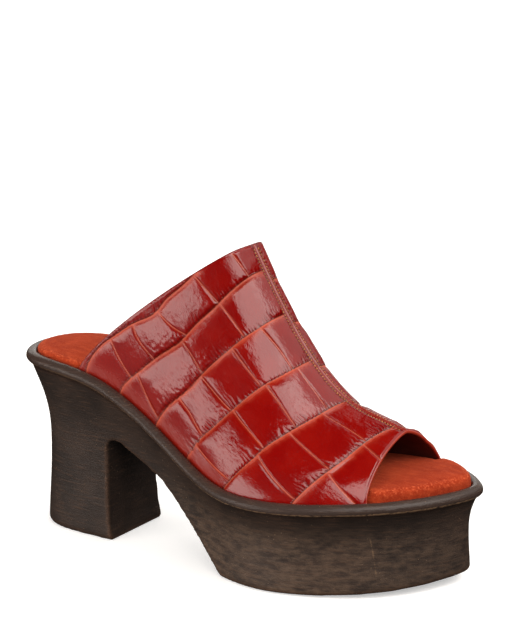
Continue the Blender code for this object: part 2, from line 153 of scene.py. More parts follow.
# Grooves between the scales of one row, by the row they lie in
CROSS_GROOVES = (
    (1, ((-0.002, 0.143), (0.055, 0.133), (0.108, 0.124))),
    (1, ((0.012, 0.798), (0.045, 0.825), (0.088, 0.860), (0.145, 0.899))),
    (1, ((0.022, 0.672), (0.050, 0.698), (0.087, 0.722), (0.155, 0.741))),
    (1, ((0.037, 0.550), (0.075, 0.555), (0.103, 0.555), (0.160, 0.530))),
    (1, ((0.004, 0.320), (0.050, 0.317), (0.090, 0.314), (0.138, 0.309))),
    (2, ((0.150, 0.862), (0.175, 0.884), (0.199, 0.909), (0.262, 0.966))),
    (2, ((0.165, 0.566), (0.200, 0.574), (0.233, 0.584), (0.273, 0.598))),
    (2, ((0.138, 0.308), (0.175, 0.305), (0.206, 0.304), (0.277, 0.306))),
    (3, ((0.268, 0.789), (0.290, 0.794), (0.311, 0.799), (0.345, 0.819), (0.379, 0.835))),
    (3, ((0.273, 0.614), (0.310, 0.615), (0.342, 0.616), (0.404, 0.615))),
    (3, ((0.276, 0.390), (0.315, 0.393), (0.355, 0.396), (0.433, 0.404))),
    (3, ((0.282, 0.210), (0.330, 0.199), (0.373, 0.191), (0.466, 0.195))),
    (4, ((0.374, 0.903), (0.420, 0.914), (0.464, 0.923), (0.545, 0.942))),
    (4, ((0.405, 0.605), (0.450, 0.620), (0.494, 0.635), (0.596, 0.687))),
    (4, ((0.437, 0.382), (0.500, 0.400), (0.557, 0.421), (0.647, 0.470))),
    (4, ((0.472, 0.160), (0.530, 0.168), (0.581, 0.174), (0.679, 0.214))),
    (5, ((0.586, 0.738), (0.650, 0.800), (0.700, 0.853), (0.798, 0.975))),
    (5, ((0.636, 0.522), (0.700, 0.562), (0.757, 0.605), (0.858, 0.711))),
    (5, ((0.674, 0.263), (0.730, 0.270), (0.790, 0.279), (0.908, 0.346))),
    (6, ((0.862, 0.748), (0.905, 0.840), (0.938, 0.912), (0.970, 0.996))),
    (6, ((0.904, 0.386), (0.950, 0.445), (1.002, 0.521))),
)
INNER_SHIFT = 0.045
INNER_SHRINK = 0.020

# Fineness
OUTLINE_SAMPLES = 2400
PANEL_ROWS = 320
PANEL_COLUMNS = 230
LINING_ROWS = 110
LINING_COLUMNS = 70
RIDGE_BLEND_COLUMNS = 6
RIDGE_COLUMN = 5
END_STEP = 6
PANEL_CURVE_STEPS = 1201
ROW_GROOVE_STEPS = 70
CROSS_GROOVE_STEPS = 16
STITCH_SIDES = 8
INSOLE_STATIONS = 150
INSOLE_RINGS = 26
SOLE_STATIONS = 190
SOLE_BEAD_RINGS = 22
SOLE_WALL_RINGS = 34
ARCH_STEPS = 60
ARCH_STRETCH = 4.0
CUTTER_COLUMNS = 34
SOLE_VOXEL = 0.0010

# Relief of the scales: heights and depths
SCALE_HEIGHT = 0.70 * MM
CROWN_HEIGHT = 0.34 * MM
CREASE_HEIGHT = 0.17 * MM
PUCKER_DEPTH = 0.66 * MM
SCALE_SINK = 0.40 * MM
SWELLS = ((0.060 * MM, (0.0190, 0.0110)), (0.022 * MM, (0.0058, 0.0037)))
CREASE_SIZES = (0.0038, 0.0054)

# How far from its groove each part of the relief reaches
LOWER_EDGE = 0.75 * MM
UPPER_EDGE = 0.50 * MM
UPPER_SLOPE = 2.6 * MM
CROSS_EDGE = 0.42 * MM
CROWN_REACH = 4.0 * MM
CREASE_REACH = 8.0 * MM
PUCKER_PITCH = 2.1 * MM
PUCKER_START = 0.3 * MM
PUCKER_LEAST = 1.8 * MM
PUCKER_MORE = 3.2 * MM
GROOVE_POWER = 1.6
SHARP_POWER = 1.5
FOLD_POWER = 1.2
NO_GROOVE = 0.02

# The scales' own planes
FACET_SHARE = 0.45
TOE_FACET_SHARE = 0.80
TOE_SCALES = 60
FACET_REACH = 0.0009
FACET_EDGE = 1.1 * MM
FACET_START = (1.0 * MM, 6.0 * MM)

# Where the relief is lower: at the foot, at the ends and at the back of the inner panel
FOOT_HEIGHT = 0.40
FOOT_FADE = (3.0 * MM, 16.0 * MM)
END_FADE = (-0.3 * MM, 0.9 * MM)
CALM = 0.75
CALM_ALONG = (0.55, 0.20)
CALM_AROUND = (24.0 * MM, 10.0 * MM)

# How the inner panel's scales stand out more, first at the throat and then what is added to the toe
INNER_LIFT = (0.1 * MM, 0.8 * MM)
INNER_LIFT_START = (3.0 * MM, 8.0 * MM)

# Tilts of single scales on the outer panel. Each key is ten times the row plus the number from
# the ridge. The slopes are toward the toe and down the side.
SCALE_TILTS = {
    10: (0.040, 0.015), 11: (-0.050, 0.000), 12: (-0.085, 0.020), 13: (-0.070, -0.022), 14: (0.015, 0.022),
    20: (-0.030, 0.080), 21: (0.050, -0.060), 22: (-0.060, -0.045), 31: (0.055, -0.045), 32: (0.026, -0.075),
    34: (0.020, 0.030), 41: (0.045, -0.006), 43: (0.045, 0.040), 50: (-0.020, 0.050), 53: (0.110, -0.120),
    61: (-0.090, -0.050), 62: (-0.050, -0.060),
}

# Scales with the most wrinkles, as ten times the row and the number from the ridge
CREASED_SCALES = (13, 21, 22, 33)

# The seam down the ridge, its stitches and the gathers beside them
SEAM_BAND = (2.3 * MM, 3.9 * MM)
SEAM_HEIGHT = 0.35 * MM
CLEFT_DEPTH = 0.80 * MM
CLEFT_WIDTH = 0.35 * MM
STITCH_LINE = 2.0 * MM
STITCH_PITCH = 0.00162
FIRST_STITCH = 0.0026
LAST_STITCH = 2.2 * MM
STITCH_SIZE = (1.00 * MM, 0.66 * MM, 0.56 * MM)
STITCH_LIFT = 0.12 * MM
STITCH_RINGS = (
    (-0.50, 0.0), (-0.46, 0.55), (-0.34, 0.92), (0.0, 1.05), (0.34, 0.92), (0.46, 0.55), (0.50, 0.0),
)
CHANNEL_WIDTH = 0.50 * MM
CHANNEL_DEPTH = 0.55 * MM
CHANNEL_BEAT = 0.30 * MM
GATHER_LINE = 3.3 * MM
GATHER_WIDTH = 0.9 * MM
GATHER_DEPTH = 0.32 * MM
GATHER_PITCH = 0.0019

# Widths of the colour marks on the leather
ROW_LINE = 0.42 * MM
CROSS_LINE = 0.34 * MM
SEAM_LINE = 0.50 * MM
RIM_WIDTH = 1.6 * MM
RIM_SWING = 0.5 * MM
RIM_SIZES = (0.0085, 0.0049)
SHADE_WIDTH = 0.30 * MM
LOWER_SHADE = 0.50 * MM
CROSS_SHADE = 0.62 * MM
# Where the leather turns matt near the foot and toward the toe, and its colour takes a painted reflection of
# the pale floor
MATT_FOOT = 12.0 * MM
MATT_TOE = (0.45, 0.62)
CHART_LENGTH = 0.14

# Marks on the rolled edges: groove, rim, and painted shade, which darkens the throat's roll a little and the
# inner half of the toe's roll most
THROAT_MARKS = (0.0, 0.0, 0.35)
TOE_MARKS = (0.0, 0.7, 0.0)
TOE_PAINTED_SHADE_MARKS = (0.0, 0.2, 0.8)
ROLL_TURNS = (25.0, 55.0, 90.0, 125.0, 155.0, 180.0)
ROLL_REACH = 0.45

# The suede's nap, and the rings of the insole that it and the rubbed edge take up
NAP_HEIGHT = 0.09 * MM
NAP_SIZES = (0.006, 0.013)
NAP_START_RING = 2
NAP_RINGS = 4.0
RUBBED_RING = 6
RUBBED_RINGS = 4.5

# Wear of the sole, and where the bead's crest takes a painted highlight
BEND_ROUNDS = 3
BEND_SHARE = 0.6
CREASE_LIFT = 0.80 * MM
CREASE_WIDTH = 0.85 * MM
CREST_BEND = 350.0
WORN_BEND = (70.0, 300.0)
SCRATCH_X = 0.0873
SCRATCH_Z = 0.0200
SCRATCH_SLOPE = 0.15
SCRATCH_WIDTH = (0.00040, 0.00010)
SCRATCH_ENDS = (0.010, 0.007)

# Patterns of the finishes, in cycles a metre
LEATHER_PATCHES = 70.0
LEATHER_GRAIN = 1300.0
NICK_SCALES = (1100.0, 260.0, 1.0)
FOLD_SCALES = (460.0, 240.0, 1.0)
SUEDE_PATCHES = 55.0
SUEDE_GRAIN = 2600.0
STROKE_SCALES = (150.0, 330.0, 330.0)
SPECK_SCALE = 900.0
LINING_PATCHES = 45.0
LINING_GRAIN = 1500.0
THREAD_PATCHES = 400.0
THREAD_GRAIN = 5000.0
SOLE_PATCHES = 38.0
SOLE_GRAIN = 1700.0
BRUSH_SCALES = (90.0, 90.0, 1500.0)
MOTTLE_SCALES = (140.0, 140.0, 420.0)
CHIP_SCALE = 420.0
PIT_SCALE = 420.0
PIT_PATCHES = 75.0

# Where each mask starts and where it is full
PATCH_MASK = (0.35, 0.68)
MATT_MASK = (1.0, 0.2)
BRUSHED_MASK = (0.42, 0.70)
FIBRE_MASK = (0.48, 0.75)
SPECK_MASK = (0.5, 0.7)
BEAD_MASK = (0.04, 0.0)
WALL_MASK = (0.0, 0.12)
# The platform wall's rubbed brown, reaching back over the shank as painted light
PLATFORM_BACK = (-0.05, 0.01)
PLATFORM_FRONT = (0.17, 0.06)
RUBBED_DOWN = (0.05, 0.5)
RUBBED_MOTTLE = (0.34, 0.68)
WARM_MASK = (0.50, 0.72)
WORN_GRAIN = (0.30, 0.62)
CREASE_MASK = (0.45, 0.80)
CREASE_ALONG = (-0.03, 0.02)
CHIP_MASK = (0.34, 0.56)
PIT_MASK = (0.13, 0.05)
PIT_PATCH_MASK = (0.46, 0.58)
SCRATCH_MOTTLE = (0.38, 0.62)
LOW_MASK = (0.02, -0.12)
LOW_GLOSS_MASK = (0.55, 0.95)
EDGE_GLOSS_MASK = (0.91, 0.97)

# Depths of the bumps
LEATHER_BUMP = 0.00012
SUEDE_BUMP = 0.00030
LINING_BUMP = 0.00010
THREAD_BUMP = 0.00006
SOLE_BUMP = 0.00014

# Roughness of the leather: polished, and more where it is grained, grooved, rimmed or matt
LEATHER_ROUGH = 0.09
GRAIN_ROUGH = 0.08
GROOVE_ROUGH = 0.25
RIM_ROUGH = 0.32
MATT_ROUGH = 0.20

# Colours
DEEP_RED = (0.203, 0.0008, 0.0003)
WARM_RED = (0.235, 0.0024, 0.0007)
# Lighter orange-red on the matt leather: a painted reflection of the pale floor
MATT_RED_PAINTED_REFLECTION = (0.275, 0.0115, 0.0030)
RIM_ORANGE = (0.470, 0.0480, 0.0170)
GROOVE_ORANGE = (0.560, 0.0860, 0.0330)
# Painted shade for the scales' lower edges, puckers, stitch channel and gathers
PAINTED_SHADE_COLOUR = (0.045, 0.0030, 0.0050)
SUEDE = (0.345, 0.0350, 0.0100)
SUEDE_DARK = (0.270, 0.0235, 0.0072)
SUEDE_BRUSHED = (0.400, 0.0470, 0.0142)
SUEDE_FIBRE = (0.620, 0.1100, 0.0400)
LINING = (0.120, 0.0200, 0.0110)
LINING_DARK = (0.080, 0.0130, 0.0080)
THREAD = (0.540, 0.2200, 0.0650)
THREAD_DARK = (0.300, 0.1050, 0.0300)
SOLE_DARK = (0.0230, 0.0155, 0.0126)
SOLE_BROWN = (0.0385, 0.0240, 0.0182)
SOLE_BEAD = (0.036, 0.0190, 0.0140)
SOLE_WARM = (0.100, 0.0500, 0.0280)
# Rubbed brown of the platform wall, partly wear and partly painted light
SOLE_RUBBED_AND_PAINTED_LIGHT = (0.120, 0.0740, 0.0480)
SOLE_GOLD = (0.270, 0.1620, 0.0900)
# Painted highlight along the bead's crest
SOLE_PAINTED_HIGHLIGHT = (0.130, 0.1080, 0.1000)
FLOOR_WHITE = (0.86, 0.86, 0.86, 1.0)

# Floor
FLOOR_SIZE = 18.0
FLOOR_DROP = 0.1 * MM
FLOOR_GLOW = 0.50
FLOOR_FAR_GLOW = 0.55
FLOOR_FAR = (0.3, 2.0)

# Light
SHOE_MIDDLE = np.array((0.0, 0.0, 0.08))
SURROUND_TINT = (1.0, 0.95, 0.90)
SURROUND_SEEN = 1.0
SURROUND_FILL = 0.44
SURROUND_LOW_FILL = 0.25
SURROUND_GLOSS = 0.01
SURROUND_LOW_GLOSS = 0.22
SURROUND_EDGE_GLOSS = 0.6
LOW_GLOSS_WAY = (-0.64, -0.77)
PAST_THE_SHOE = (-0.258, 0.962, 0.087)
WARM_WHITE = (1.0, 0.950, 0.895)
SOFT_BOXES = (
    # name, turn and rise in degrees, reach, size, power, whether the gloss shows it
    ("right box", -21.0, 41.0, 1.5, (1.8, 1.25), 18.0, True),
    ("far right box", 43.0, 41.0, 1.5, (1.9, 1.25), 5.5, True),
    ("left box", -131.0, 6.0, 1.3, (1.16, 0.41), 3.6, True),
    ("back box", 130.0, 22.0, 1.6, (1.3, 0.9), 4.0, True),
    ("left fill", -108.0, 18.0, 1.5, (1.6, 1.2), 16.0, False),
    ("inner fill", 95.0, 30.0, 1.6, (1.6, 1.2), 7.0, False),
    ("right fill", 20.0, 50.0, 1.5, (1.6, 1.2), 5.5, False),
)

# Camera, in the heel's frame
CAMERA_PLACE = (0.645254, -0.856591, 0.354728)
CAMERA_TURN = 31.167
CAMERA_DROP = 13.364
CAMERA_LENS = 124.87


def spline(knots, values, places, closed=False):
    """A smooth curve through the values at the knots, read at the places."""
    knots = np.asarray(knots, float)
    values = np.asarray(values, float)
    count = len(knots)
    gaps = np.diff(knots)
    secants = np.diff(values) / gaps
    system = np.zeros((count, count))
    target = np.zeros(count)
    for i in range(1, count - 1):
        system[i, i - 1:i + 2] = (gaps[i], 2.0 * (gaps[i - 1] + gaps[i]), gaps[i - 1])
        target[i] = 3.0 * (gaps[i] * secants[i - 1] + gaps[i - 1] * secants[i])
    if closed:
        system[0, [0, -1]] = (1.0, -1.0)
        system[-1, [0, 1, -2, -1]] = (2.0 * gaps[-1], gaps[-1], gaps[0], 2.0 * gaps[0])
        target[-1] = 3.0 * (gaps[0] * secants[-1] + gaps[-1] * secants[0])
    else:
        system[0, :2] = (2.0, 1.0)
        system[-1, -2:] = (1.0, 2.0)
        target[0] = 3.0 * secants[0]
        target[-1] = 3.0 * secants[-1]
    slopes = np.linalg.solve(system, target)
    cell = np.clip(np.searchsorted(knots, places, side="right") - 1, 0, count - 2)
    gap = gaps[cell]
    share = np.clip((places - knots[cell]) / gap, 0.0, 1.0)
    back = 1.0 - share
    before = back ** 2 * (1.0 + 2.0 * share) * values[cell]
    after = share ** 2 * (3.0 - 2.0 * share) * values[cell + 1]
    return before + after + share * back * gap * (back * slopes[cell] - share * slopes[cell + 1])


def smooth_step(places, start, end):
    """0 before the start, 1 after the end and smooth between them."""
    share = np.clip((places - start) / (end - start), 0.0, 1.0)
    return share * share * (3.0 - 2.0 * share)


def fall(gap, reach, power=2.0):
    """1 at no gap, falling to 0 beyond the reach."""
    return np.exp(-(gap / reach) ** power)


def running_length(points, power=1.0):
    """Length along a line of points up to each of them, its steps raised to a power."""
    steps = np.linalg.norm(np.diff(points, axis=0), axis=1) ** power
    return np.concatenate(((0.0,), np.cumsum(steps)))


def read_line(line, reach, places):
    """Points of a line at places along its length."""
    return np.stack([np.interp(places, reach, line[:, k]) for k in range(3)], 1)


def outline_sides():
    """The outline's outer and inner side from heel to toe: point, outward normal, tread inset."""
    table = np.array(OUTLINE + OUTLINE[:1])
    points = table[:, :2] * (LENGTH, BALL_WIDTH)
    knots = running_length(points, 0.5)
    places = np.linspace(0.0, knots[-1], OUTLINE_SAMPLES, endpoint=False)
    x, y, inset = (spline(knots, column, places, closed=True)
                   for column in (points[:, 0], points[:, 1], table[:, 2] * WALL_INSET))
    tangent = np.stack((np.roll(x, -1) - np.roll(x, 1), np.roll(y, -1) - np.roll(y, 1)), 1)
    tangent /= np.linalg.norm(tangent, axis=1)[:, None]
    rows = np.column_stack((x, y, tangent[:, 1], -tangent[:, 0], inset))
    rows = np.roll(rows, -int(np.argmin(x)), axis=0)
    toe = int(np.argmax(rows[:, 0]))
    return rows[:toe + 1], np.vstack((rows[toe:], rows[:1]))[::-1]


OUTER_SIDE, INNER_SIDE = outline_sides()
BOTH_SIDES = np.vstack((OUTER_SIDE, INNER_SIDE))[:, :2]
MIDDLE = (BOTH_SIDES.min(axis=0) + BOTH_SIDES.max(axis=0)) / 2.0


def read_side(side, x):
    """Point, outward normal and tread inset of one side at the given x."""
    return np.stack([np.interp(x, side[:, 0], side[:, k]) for k in range(side.shape[1])], 1)


def ring_stations(count):
    """The outline as a ring: the outer side from heel to toe, then the inner side back."""
    heel = OUTER_SIDE[0, 0]
    toe = OUTER_SIDE[-1, 0]
    x = heel + (toe - heel) * (1.0 - np.cos(np.linspace(0.0, np.pi, count + 1))) / 2.0
    return np.vstack((read_side(OUTER_SIDE, x), read_side(INNER_SIDE, x)[-2:0:-1]))


def bead_height(x):
    """Height of the bead's inner edge above the floor."""
    table = np.array(RISE)
    share = np.clip(x / LENGTH, 0.0, 1.0)
    rise = spline(table[:, 0], table[:, 1], share)
    lift = spline(table[:, 0], table[:, 2], share)
    return BALL_HEIGHT + (HEEL_HEIGHT - BALL_HEIGHT) * rise + TOE_SPRING * lift


def insole_rise(x):
    """Height of the insole's edge over the bead."""
    table = np.array(RISE)
    return INSOLE_RISE * spline(table[:, 0], table[:, 3], np.clip(x / LENGTH, 0.0, 1.0))


def tread_height(x):
    """Height of the tread above the floor: flat, then sprung up under the toe."""
    return TOE_SPRING * np.clip((x - SPRING_START) / (LENGTH - SPRING_START), 0.0, 1.0) ** 2


def section_curve(row, turns):
    """Outer line of one section of the upper: outer foot at -1, ridge at 0, inner foot at 1."""
    outer_foot, inner_foot, along, across, height, lean, outer_side, inner_side, top = row
    feet = []
    for edge, share in ((OUTER_SIDE, outer_foot), (INNER_SIDE, inner_foot)):
        place = read_side(edge, np.array([share * LENGTH]))[0]
        flat = place[:2] - place[2:4] * (BEAD_WIDTH + CLEARANCE)
        feet.append(np.array((flat[0], flat[1], bead_height(flat[:1])[0])))
    ridge = np.array((along * LENGTH, across * BALL_WIDTH, BALL_HEIGHT + height * UPPER_RISE))
    share = (ridge[1] - feet[0][1]) / (feet[1][1] - feet[0][1])
    base = feet[0] + (feet[1] - feet[0]) * share
    angle = (1.0 - np.abs(turns)) * np.pi / 2.0
    wide = np.cos(angle) ** np.where(turns < 0.0, outer_side, inner_side)
    rise = np.sin(angle) ** top
    foot = np.where(turns[:, None] < 0.0, feet[0], feet[1])
    climb = np.stack((rise ** lean, rise, rise), 1)
    return base + (foot - base) * wide[:, None] + climb * (ridge - base)


def panel_grid(side, rows, columns):
    """One half of the upper from throat to toe and from ridge to foot, evenly spaced round the girth."""
    table = np.array(SECTIONS)
    places = np.linspace(0.0, 1.0, rows)
    filled = np.stack([spline(np.linspace(0.0, 1.0, len(table)), column, places) for column in table.T], 1)
    turns = side * np.maximum(np.linspace(0.0, 1.0, PANEL_CURVE_STEPS) ** 2.5, 1e-9)
    grid = []
    for row in filled:
        curve = section_curve(row, turns)
        reach = running_length(curve)
        grid.append(read_line(curve, reach, np.linspace(0.0, reach[-1], columns)))
    return np.array(grid)


def grid_normals(grid, side):
    """Outward unit normals of a panel grid."""
    normal = np.cross(np.gradient(grid, axis=0), np.gradient(grid, axis=1)) * side
    return normal / np.linalg.norm(normal, axis=2)[:, :, None]


def read_grid(grid, along, girth):
    """Points of a panel grid at shares along the shoe and round the girth."""
    rows, columns = grid.shape[:2]
    i = np.clip(np.asarray(along), 0.0, 1.0) * (rows - 1)
    j = np.clip(np.asarray(girth), 0.0, 1.0) * (columns - 1)
    i0 = np.minimum(i.astype(int), rows - 2)
    j0 = np.minimum(j.astype(int), columns - 2)
    u = (i - i0)[:, None]
    v = (j - j0)[:, None]
    return ((1 - u) * (1 - v) * grid[i0, j0] + u * (1 - v) * grid[i0 + 1, j0]
            + (1 - u) * v * grid[i0, j0 + 1] + u * v * grid[i0 + 1, j0 + 1])


def groove_line(grid, chart, steps):
    """A charted groove as a closely spaced line of points on a panel."""
    chart = np.array(chart)
    knots = running_length(chart)
    places = np.linspace(0.0, knots[-1], steps)
    return read_grid(grid, spline(knots, chart[:, 0], places), spline(knots, chart[:, 1], places))


def distance_to(points, line):
    """Distance from every point to a line of points."""
    nearest = np.full(len(points), np.inf)
    for start, end in zip(line[:-1], line[1:]):
        way = end - start
        length = max(way @ way, 1e-12)
        share = np.clip((points - start) @ way / length, 0.0, 1.0)
        nearest = np.minimum(nearest, np.sum((points - start - share[:, None] * way) ** 2, axis=1))
    return np.sqrt(nearest)


def waves(points, *sizes):
    """A smooth irregular field over points, from crossed waves of the given sizes in metres."""
    total = np.zeros(len(points))
    ways = np.array(((0.82, 0.31, -0.48), (-0.35, 0.88, 0.33), (0.22, -0.51, 0.83), (0.63, 0.60, 0.49)))
    for k, size in enumerate(sizes):
        for n, way in enumerate(ways):
            bent = points @ np.roll(way, k) + 0.35 * size * np.sin(points @ ways[n - 1] / (0.23 * size) + k)
            total += np.sin(bent * 2.0 * np.pi / size * (1.0 + 0.13 * n) + 2.1 * n + 1.3 * k)
    return total / (len(ways) * len(sizes)) * 1.6


def panel_charts(side):
    """The groove charts of one panel. The inner panel's scales sit a little nearer the toe."""
    if side < 0:
        return ROW_GROOVES, CROSS_GROOVES

    def moved(chart):
        return tuple((along + (INNER_SHIFT - INNER_SHRINK * along) * np.clip(along / 0.06, 0.0, 1.0), girth)
                     for along, girth in chart)
    return [moved(chart) for chart in ROW_GROOVES], [(row, moved(chart)) for row, chart in CROSS_GROOVES]


def facets(grid, normal, scale, side):
    """Offsets that bring each scale nearer its own plane, and tilt some scales of the outer panel."""
    points = grid.reshape(-1, 3)
    normal = normal.reshape(-1, 3)
    ahead, around = (np.gradient(grid, axis=k).reshape(-1, 3) for k in (0, 1))
    offset = np.zeros(len(points))
    for one in np.unique(scale):
        here = scale == one
        facing = unit(normal[here].mean(axis=0))
        fore = ahead[here].mean(axis=0)
        fore = unit(fore - fore @ facing * facing)
        down = np.cross(facing, fore)
        down *= np.sign(down @ around[here].mean(axis=0))
        place = points[here] - points[here].mean(axis=0)
        depth = place @ facing
        share = FACET_SHARE if one < TOE_SCALES else TOE_FACET_SHARE
        offset[here] = FACET_REACH * np.tanh(share * (depth.mean() - depth) / FACET_REACH)
        slopes = SCALE_TILTS.get(one, (0.0, 0.0)) if side < 0 else (0.0, 0.0)
        offset[here] -= slopes[0] * (place @ fore) + slopes[1] * (place @ down)
    return offset


def measure_panel(grid, side):
    """The scale that each point of a panel lies in, and its way to the grooves, ridge, foot and ends."""
    rows, columns = grid.shape[:2]
    points = grid.reshape(-1, 3)
    along = np.repeat(np.linspace(0.0, 1.0, rows), columns)
    girth = np.tile(np.linspace(0.0, 1.0, columns), rows)
    arc = np.repeat(np.linalg.norm(np.diff(grid, axis=1), axis=2).sum(axis=1), columns)
    row_charts, cross_charts = panel_charts(side)
    row = np.zeros(len(points), int)
    far = np.full(len(points), NO_GROOVE)
    to_row = []
    for chart in row_charts:
        back = np.array(chart)[::-1]
        row += along > np.interp(girth, back[:, 1], back[:, 0])
        to_row.append(distance_to(points, groove_line(grid, chart, ROW_GROOVE_STEPS)))
    gaps = np.stack([far] + to_row + [far])
    place = np.arange(len(points))
    number = np.zeros(len(points), int)
    cross = far.copy()
    for band, chart in cross_charts:
        inside = row == band
        groove = groove_line(grid, chart, CROSS_GROOVE_STEPS)
        cross[inside] = np.minimum(cross[inside], distance_to(points[inside], groove))
        line = np.array(chart)
        number += inside & (girth > np.interp(along, line[:, 0], line[:, 1]))
    ends = [distance_to(points, end[::END_STEP]) for end in (grid[0], grid[-1])]
    return SimpleNamespace(
        points=points, along=along, row=row, number=number, scale=10 * row + number,
        lower=gaps[row + 1, place], upper=gaps[row, place], cross=cross,
        from_ridge=girth * arc, from_foot=(1.0 - girth) * arc, from_end=np.minimum(*ends),
        ridge_way=np.repeat(running_length(grid[:, RIDGE_COLUMN]), columns))


def puckers(spot):
    """Short folds that run down into the lower groove of each scale, 1 at their deepest."""
    way = spot.from_ridge / MM
    wander = 1.3 * np.sin(0.37 * way + 1.7 * spot.row) + 0.7 * np.sin(0.83 * way + 2.9 * spot.row)
    wander += 0.5 * np.sin(spot.along * 120.0)
    fold = np.abs(np.sin(np.pi * spot.from_ridge / PUCKER_PITCH + wander))
    swing = 0.5 + 0.5 * np.sin(0.31 * way + 2.3 * spot.row + 1.9 * spot.number)
    length = PUCKER_LEAST + PUCKER_MORE * swing ** 2
    start = 1.0 - fall(spot.lower, PUCKER_START, 1.0)
    return (1.0 - fold) ** FOLD_POWER * fall(spot.lower, length) * start


def scale_relief(spot, grid, normal, side):
    """Heights of the scales between their grooves, and the crown that rises over each."""
    lower = 1.0 - fall(spot.lower, LOWER_EDGE, GROOVE_POWER)
    drop = fall(spot.upper, UPPER_EDGE, SHARP_POWER) + fall(spot.upper, UPPER_SLOPE, GROOVE_POWER)
    upper = 1.0 - drop / 2.0
    cross = 1.0 - fall(spot.cross, CROSS_EDGE, GROOVE_POWER)
    least = np.minimum(np.minimum(spot.lower, spot.upper), spot.cross)
    crown = 1.0 - fall(least, CROWN_REACH)
    swell = 0.85 + 0.15 * np.sin(spot.row * 2.3 + spot.number * 1.9)
    height = SCALE_HEIGHT * lower * upper * cross + CROWN_HEIGHT * crown * swell
    inside = (1.0 - fall(least, FACET_EDGE, SHARP_POWER)) * smooth_step(spot.from_ridge, *FACET_START)
    height += facets(grid, normal, spot.scale, side) * inside
    for size, lengths in SWELLS:
        height += size * waves(spot.points, *lengths) * crown
    creased = np.isin(spot.scale, CREASED_SCALES) * fall(spot.lower, CREASE_REACH)
    height += CREASE_HEIGHT * waves(spot.points, *CREASE_SIZES) * creased * lower * cross
    return height, crown


def measure_seam(spot):
    """The seam at each point: its raised band, the stitch channel, the beat of the stitches, the gathers."""
    gather = np.abs(np.sin(np.pi * spot.ridge_way / GATHER_PITCH + 1.4 * np.sin(spot.along * 61.0)))
    return SimpleNamespace(
        band=1.0 - smooth_step(spot.from_ridge, *SEAM_BAND),
        channel=fall(spot.from_ridge - STITCH_LINE, CHANNEL_WIDTH),
        beat=0.5 + 0.5 * np.cos(2.0 * np.pi * (spot.ridge_way - FIRST_STITCH) / STITCH_PITCH),
        gather=(1.0 - gather) ** FOLD_POWER * fall(spot.from_ridge - GATHER_LINE, GATHER_WIDTH))


def leather_marks(spot, seam, pucker):
    """Colour marks of the leather: grooves, rubbed rims, painted shade in the folds, grooves and stitch
    channel, and the polish away from the foot.
    """
    clear = 1.0 - 0.8 * seam.band
    row_line = fall(np.minimum(spot.lower, spot.upper), ROW_LINE)
    line = np.maximum(row_line, fall(spot.cross, CROSS_LINE)) * clear
    line = np.maximum(line, 0.25 * fall(spot.from_ridge, SEAM_LINE))
    rim_width = RIM_WIDTH + RIM_SWING * waves(spot.points, *RIM_SIZES)
    frayed = seam.band * (1.0 - 0.7 * seam.channel)
    rim = np.maximum(fall(spot.upper, rim_width, GROOVE_POWER) * clear, 0.12 * frayed)
    # Painted shade: a dark line along each scale's lower edge, in the puckers, beside the cross grooves, in
    # the stitch channel between stitches and in the gathers
    shade = fall(spot.lower - LOWER_SHADE, SHADE_WIDTH) * clear + 0.75 * pucker
    shade += 0.15 * fall(spot.cross - CROSS_SHADE, SHADE_WIDTH) * clear
    shade += seam.channel * (1.1 - 0.6 * seam.beat) + 0.7 * seam.gather
    # Where the polish is low the leather is matt and takes a painted reflection of the floor
    polish = np.clip(spot.from_foot / MATT_FOOT + smooth_step(spot.along, *MATT_TOE), 0.0, 1.0)
    return np.stack((line, rim, np.clip(shade, 0.0, 1.0), polish), 1)


def emboss(grid, normal, side):
    """Heights of the embossed leather over a panel in metres, its colour marks and its UV map."""
    rows, columns = grid.shape[:2]
    spot = measure_panel(grid, side)
    seam = measure_seam(spot)
    pucker = puckers(spot)
    height, crown = scale_relief(spot, grid, normal, side)
    height -= PUCKER_DEPTH * pucker
    height *= FOOT_HEIGHT + (1.0 - FOOT_HEIGHT) * smooth_step(spot.from_foot, *FOOT_FADE)
    height -= SCALE_SINK
    if side > 0:
        calm = smooth_step(spot.along, *CALM_ALONG) * smooth_step(spot.from_ridge, *CALM_AROUND)
        height *= 1.0 - CALM * calm
        lift = INNER_LIFT[0] + INNER_LIFT[1] * spot.along
        height += lift * smooth_step(spot.from_ridge, *INNER_LIFT_START) * crown
    height = height * (1.0 - seam.band) + SEAM_HEIGHT * seam.band
    height -= (CHANNEL_DEPTH - CHANNEL_BEAT * seam.beat) * seam.channel
    height -= GATHER_DEPTH * seam.gather
    height -= CLEFT_DEPTH * fall(spot.from_ridge, CLEFT_WIDTH)
    height *= smooth_step(spot.from_end, *END_FADE)
    marks = leather_marks(spot, seam, pucker)
    chart = np.stack((spot.from_ridge, spot.along * CHART_LENGTH), 1)
    return height.reshape(rows, columns), marks.reshape(rows, columns, 4), chart.reshape(rows, columns, 2)


def centred(points):
    """Points moved from the heel's frame to the frame of the CAD model."""
    return np.asarray(points) - (MIDDLE[0], MIDDLE[1], 0.0)


def make_piece(name, points, faces, material=None):
    """A smooth object from points in the heel's frame and its faces."""
    mesh = bpy.data.meshes.new(name)
    mesh.from_pydata(centred(points), [], faces)
    mesh.shade_smooth()
    piece = bpy.data.objects.new(name, mesh)
    bpy.context.scene.collection.objects.link(piece)
    if material:
        mesh.materials.append(material)
    return piece


def grid_faces(rows, columns, flip=False, closed=False):
    """Quads between the points of a grid."""
    index = np.arange(rows * columns).reshape(rows, columns)
    if closed:
        index = np.column_stack((index, index[:, 0]))
    quads = np.stack((index[:-1, :-1], index[1:, :-1], index[1:, 1:], index[:-1, 1:]), -1).reshape(-1, 4)
    return (quads[:, ::-1] if flip else quads).tolist()


